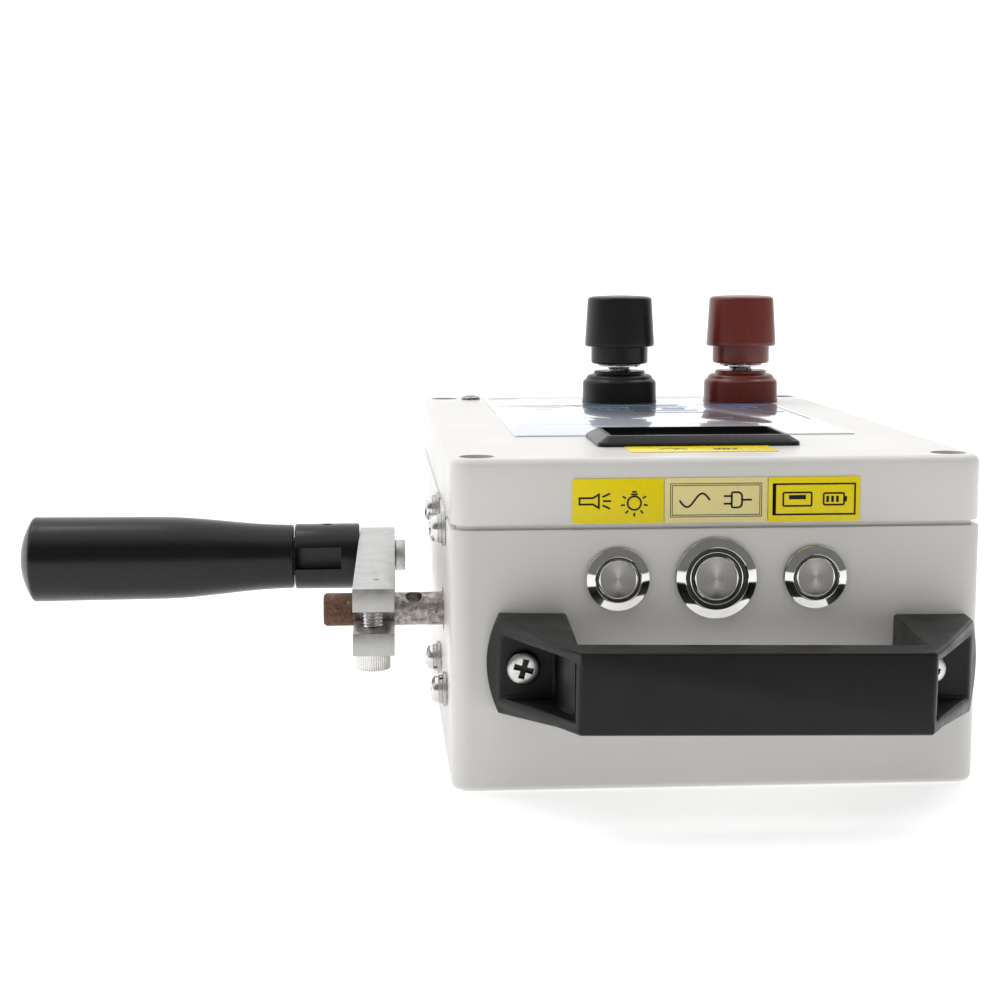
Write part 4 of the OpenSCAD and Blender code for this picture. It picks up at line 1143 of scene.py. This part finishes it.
def build_crank():
    low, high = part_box("crank_shaft")
    inner = high.x / MM
    length = inner - low.x / MM
    r = 4.0
    profile = [(0, 0), (r - 0.3, 0), (r, 0.3)] + [(r, h) for h in heights(2, length - 0.9, 3)]
    profile += [(r - 0.2, length - 0.35), (r - 0.6, length), (0, length)]
    shaft = lathe("shaft_rod", profile, mm(inner, SHAFT.y, SHAFT.z), -X, segments=72)
    lean = radians(30)
    cut(shaft, hole(2, -8, 8, mm(-67, SHAFT.y, SHAFT.z), Vector((0, -sin(lean), cos(lean))), 40))
    piece(shaft, "shaft_steel", ["crank_shaft"], body="crank")

    low, high = span("crank_arm")
    mid = (low.x + high.x) / 2
    askew, width = radians(0.9), 9.7
    drop = width * sin(askew)
    arm = block("arm_bar", (0, 0, low.z), (width, (high.y - low.y - drop) / cos(askew), high.z))
    arm.matrix_world = Matrix.Translation(mm(low.x, low.y + drop, 0)) @ Matrix.Rotation(-askew, 4, "Z")
    clamp = middle("clamp_screw") / MM
    grip = middle("crank_grip") / MM
    cut(arm, hole(r + 0.02, -20, 20, mm(mid, SHAFT.y, SHAFT.z), X, 72),
        block("slit", (low.x - 1, low.y - 1, low.z + 5.25), (high.x + 1, SHAFT.y, low.z + 10.35)),
        join("holes", [hole(2.7, -10, -1, mm(clamp.x, clamp.y, SHAFT.z)),
                       hole(2.52, 1, high.z - 1.5 - SHAFT.z, mm(clamp.x, clamp.y, SHAFT.z)),
                       hole(3.02, -20, 20, mm(mid, grip.y, grip.z), X),
                       lathe("dimple", [(0, -1.1), (0.7, -0.8), (0.8, 1), (0, 1)], mm(-76, -65, high.z), Z,
                             segments=32)]))
    bevel(arm, 0.3, 2, 40)
    piece(arm, "raw_aluminium", ["crank_arm"], body="crank", sharp=40)

    place = mm(clamp.x, clamp.y, low.z)

    def knurl(angle, height):
        return 1 - 0.035 * (0.5 + 0.5 * cos(46 * angle)) if -4.8 < height < -0.4 else 1.0

    head = [(0, -3), (2.3, -2.7), (2.3, -5.0), (2.5, -5.2), (3.4, -5.2), (3.9, -5.0), (4.1, -4.8),
            (4.16, -4.6), (4.16, -2.4), (4.16, -0.45), (4.1, -0.3), (3.9, 0), (0, 0)]
    socket = prism("socket", [(2.3 * cos(pi * k / 3), 2.3 * sin(pi * k / 3)) for k in range(6)],
                   -6, -2.4, place)
    knob = cut(lathe("head", head, place, Z, segments=230, ripple=knurl), socket)
    shank = lathe("shank", [(0, -0.5), (2.48, -0.5)] + [(2.48, h) for h in heights(0.2, 13.3, 0.1)] +
                  [(2.0, 13.7), (0, 13.7)], place, Z, segments=48, ripple=thread(0.8, 0.17, 0.6, 13.1))
    piece(join("clamp_screw_body", [knob, shank]), "nickel", ["clamp_screw"], body="crank", sharp=30)

    bolt_low, bolt_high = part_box("pivot_bolt")
    reach = 2.8
    base = bolt_high.x / MM - reach
    tip = bolt_low.x / MM - base
    profile = [(0, tip), (2.8, tip), (3, tip + 0.3), (3, 0.02), (4.2, 0.02), (4.4, 0.25), (4.4, reach - 0.45),
               (4.25, reach - 0.15), (3.9, reach), (2.2, reach), (2.0, reach - 0.25), (0, reach - 0.25)]
    piece(lathe("pivot_bolt_body", profile, mm(base, grip.y, grip.z), X, segments=72), "zinc", ["pivot_bolt"],
          body="crank")
    return grip


def build_pivot(grip):
    low, high = span("pivot_block")
    radius = (high.z - low.z) / 2
    pin = middle("fold_pin") / MM
    profile = [(0, 0), (radius - 0.35, 0), (radius, 0.35)]
    profile += [(radius, h) for h in heights(2, high.x - low.x - 0.6, 4)]
    profile += [(radius - 0.1, high.x - low.x - 0.25), (radius - 0.4, high.x - low.x), (0, high.x - low.x)]
    body = lathe("pivot_block_body", profile, mm(high.x, grip.y, grip.z), -X, segments=96)
    slots = [block("slot", (low.x - 1, grip.y + y0, grip.z - 2.5), (pin.x + 3.9, grip.y + y1, grip.z + 3.5))
             for y0, y1 in ((-20, -5.3), (-3.9, 20))]
    relief = block("relief", (low.x - 1, grip.y, grip.z - 10), (pin.x + 8.5, grip.y + 20, grip.z + 10))
    cut(relief, drum("keep", 8.95, -12, 12, mm(pin.x, grip.y, grip.z), Z, 96))
    flat = block("flat", (pin.x, grip.y + 8.8, grip.z - 10), (high.x + 1, grip.y + 20, grip.z + 10))
    cut(body, *slots, relief, flat, hole(1.5, -12, 12, mm(pin.x, grip.y, grip.z), Z, 40),
        hole(3.0, -5.5, 1, mm(high.x, grip.y, grip.z), X, 40))
    bevel(body, 0.35, 2, 40)
    piece(body, "grip_bakelite", ["pivot_block"], body="crank", sharp=40)
    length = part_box("fold_pin")[1].z / MM - pin.z
    profile = [(0, -length), (1.2, -length), (1.5, -length + 0.3), (1.5, length - 0.3), (1.2, length),
               (0, length)]
    piece(lathe("fold_pin_body", profile, mm(pin.x, pin.y, pin.z), Z, segments=40), "zinc", ["fold_pin"],
          body="crank")


def build_grip(grip):
    low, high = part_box("crank_grip")
    inner, length = high.x / MM, (high.x - low.x) / MM
    big, neck, dome, edge = (high.z - low.z) / MM / 2, 8.9, 20.7, 10.9

    def radius(t):
        if t < 38:
            return neck + (big - 0.3 - neck) * (1 - cos(pi * t / 38)) / 2
        return big - 0.3 + 0.3 * (t - 38) / (length - 38)

    profile = [(0, 65), (3.1, 64.8), (3.1, 62), (5.2, 62), (5.2, 58), (3.1, 58), (3.1, 3.4), (5.5, 3.4),
               (5.5, 0), (neck - 0.7, 0), (neck - 0.3, 0.1), (neck - 0.05, 0.4), (neck, 0.8)]
    profile += [(radius(t), t) for t in heights(2.5, length - 4.6, 2.2)]
    profile += [(big, length - 4.2), (big - 0.1, length - 3.8), (big - 0.4, length - 3.4)]
    for k in range(8, -1, -1):
        r = edge * k / 8
        profile.append((r, length - dome + sqrt(dome * dome - r ** 2)))
    handle = lathe("grip_body", profile, mm(inner, grip.y, grip.z), -X, segments=128)
    piece(handle, "grip_bakelite", ["crank_grip"], body="turning_grip", sharp=30)


# ---- back: lamp, mains outlet and charging socket ----

def build_back():
    place = place_of("lamp_lens", y=BACK)
    housing = [(0, -11.9), (12.0, -11.9), (12.1, -11.7), (12.1, 0), (13.6, 0), (14, 0.3), (14, 1.6),
               (13.7, 2.2), (13.0, 2.5), (12.0, 2.5), (11.65, 2.3), (11.6, 1.0), (11.0, 1.0), (9.2, -2.0),
               (7.2, -5.8), (5.2, -9.5), (0, -10)]
    shell = lathe("lamp_bezel", housing, place, Y, segments=96)
    piece(shell, "black_plastic", ["lamp_housing"])
    bowl = [(4.6, -9.35), (5.15, -9.4), (7.15, -5.7), (9.15, -1.9), (10.95, 0.98), (10.6, 0.98), (8.8, -1.9),
            (6.8, -5.7)]
    piece(lathe("lamp_reflector", bowl, place, Y, closed=True, segments=96), "nickel", look=POLISHED)
    chip = [(0, -9.9), (2.6, -9.9), (2.6, -8.9)]
    chip += [(2.4 * cos(radians(a)), -8.9 + 2.0 * sin(radians(a))) for a in (10, 35, 60, 80)] + [(0, -6.85)]
    piece(lathe("lamp_emitter", chip, place, Y, segments=48), "label_film", look=CREAM_FILM)
    lens = [(0, 1.0), (11.4, 1.0), (11.5, 1.1), (11.5, 1.7), (11.2, 2.0), (9, 2.3), (6, 2.6), (3, 2.76),
            (0, 2.8)]
    piece(lathe("lamp_lens_disc", lens, place, Y, segments=96), "clear_lens", ["lamp_lens"])

    for name, node, flange, body, look in (
            ("outlet", "outlet_socket", (17, 13.5, 2.5), (13.9, 10.4), "white_plastic"),
            ("charge", "usb_socket", (10, 11, 1.8), (7.9, 8.9), "black_plastic")):
        spot = place_of(node, y=BACK)
        w, h, t = flange
        plate = prism(name + "_plate", frame_path(2 * w, 2 * h, 2.2), 0, t, spot, Y)
        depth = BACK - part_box(node)[0].y / MM
        add(plate, prism("body", frame_path(2 * body[0], 2 * body[1], 0.8), -depth, 0.1, spot, Y))
        bevel(plate, 0.5, 3, 40)
        if name == "outlet":
            x0, z0 = spot.x / MM, spot.z / MM
            slots = [block("slot", (x - 1.1, BACK - 12, z0 - 2), (x + 1.1, BACK + 4, z0 + 6))
                     for x in (x0 - 6.3, x0 + 6.3)]
            slots.append(drum("slot", 2.6, -12, 4, spot + mm(0, 0, -6), Y, 40))
            rim = prism("rim", frame_path(23, 19, 3), t - 0.35, t + 1, spot, Y)
            cut(plate, rim)
            cut(plate, join("slots", slots))
        else:
            mouths = [prism("mouth", frame_path(12.4, 5.0, 0.5), -9, 4, spot + mm(0, 0, z), Y)
                      for z in (-4.2, 4.2)]
            cut(plate, join("mouths", mouths))
        piece(plate, look, [node])
        if name == "charge":
            for k, z in enumerate((-4.2, 4.2)):
                tongue = prism("charge_tongue_%d" % (k + 1), frame_path(10.6, 1.7, 0.2), -9, -0.6,
                               spot + mm(0, 0, z + 1.2), Y)
                piece(tongue, "white_plastic")
                shell = prism("liner", frame_path(12.3, 4.9, 0.5), -8.9, -0.1, spot + mm(0, 0, z), Y)
                cut(shell, prism("cut", frame_path(11.7, 4.3, 0.3), -9.5, 1, spot + mm(0, 0, z), Y))
                shell.name = "charge_liner_%d" % (k + 1)
                piece(shell, "nickel")


# ---- carried-over CAD nodes ----

CARRIED = {
    "rubber": ["lid_gasket", "switch_seals"],
    "zinc": ["handle_nuts", "grip_clip", "plate_pillars", "idler_shaft", "rotor_shaft"],
    "nickel": ["switch_nuts", "small_screws", "shaft_bearings"],
    "board": ["meter_board", "power_board"],
    "brass": ["post_nuts", "crank_gear", "rotor_pinion"],
    "raw_aluminium": ["outer_plate", "inner_plate"],
    "gear_acetal": ["idler_gear"],
    "motor_steel": ["generator_can", "generator_magnets"],
    "black_plastic": ["generator_cap"],
    "copper": ["rotor_core"],
    "cell_wrap": ["battery_cells"],
}


def dress_carried_nodes():
    for look, nodes in CARRIED.items():
        for node in nodes:
            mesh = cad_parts[node].data
            mesh.materials.clear()
            mesh.materials.append(LOOK[look])
    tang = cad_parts["grip_spindle"].data
    tang.materials.clear()
    tang.materials.append(DARK_STEEL)


# ---- everything ----

add_camera()
add_world()
add_floor()
for side in (-1, 1):
    add_area_light("top_light_%d" % (side + 2), (0.45 * side, 0.25, 1.1), (0, 0, 0.05), (0.35, 0.35), 1.3)
scene.view_settings.view_transform = "Standard"

build_base()
build_lid()
build_case_screws()
build_wall_screws()
build_labels()
build_sheet()
build_carry_handle()
build_switches()
build_meter()
build_posts()
grip_axis = build_crank()
build_pivot(grip_axis)
build_grip(grip_axis)
build_back()
dress_carried_nodes()
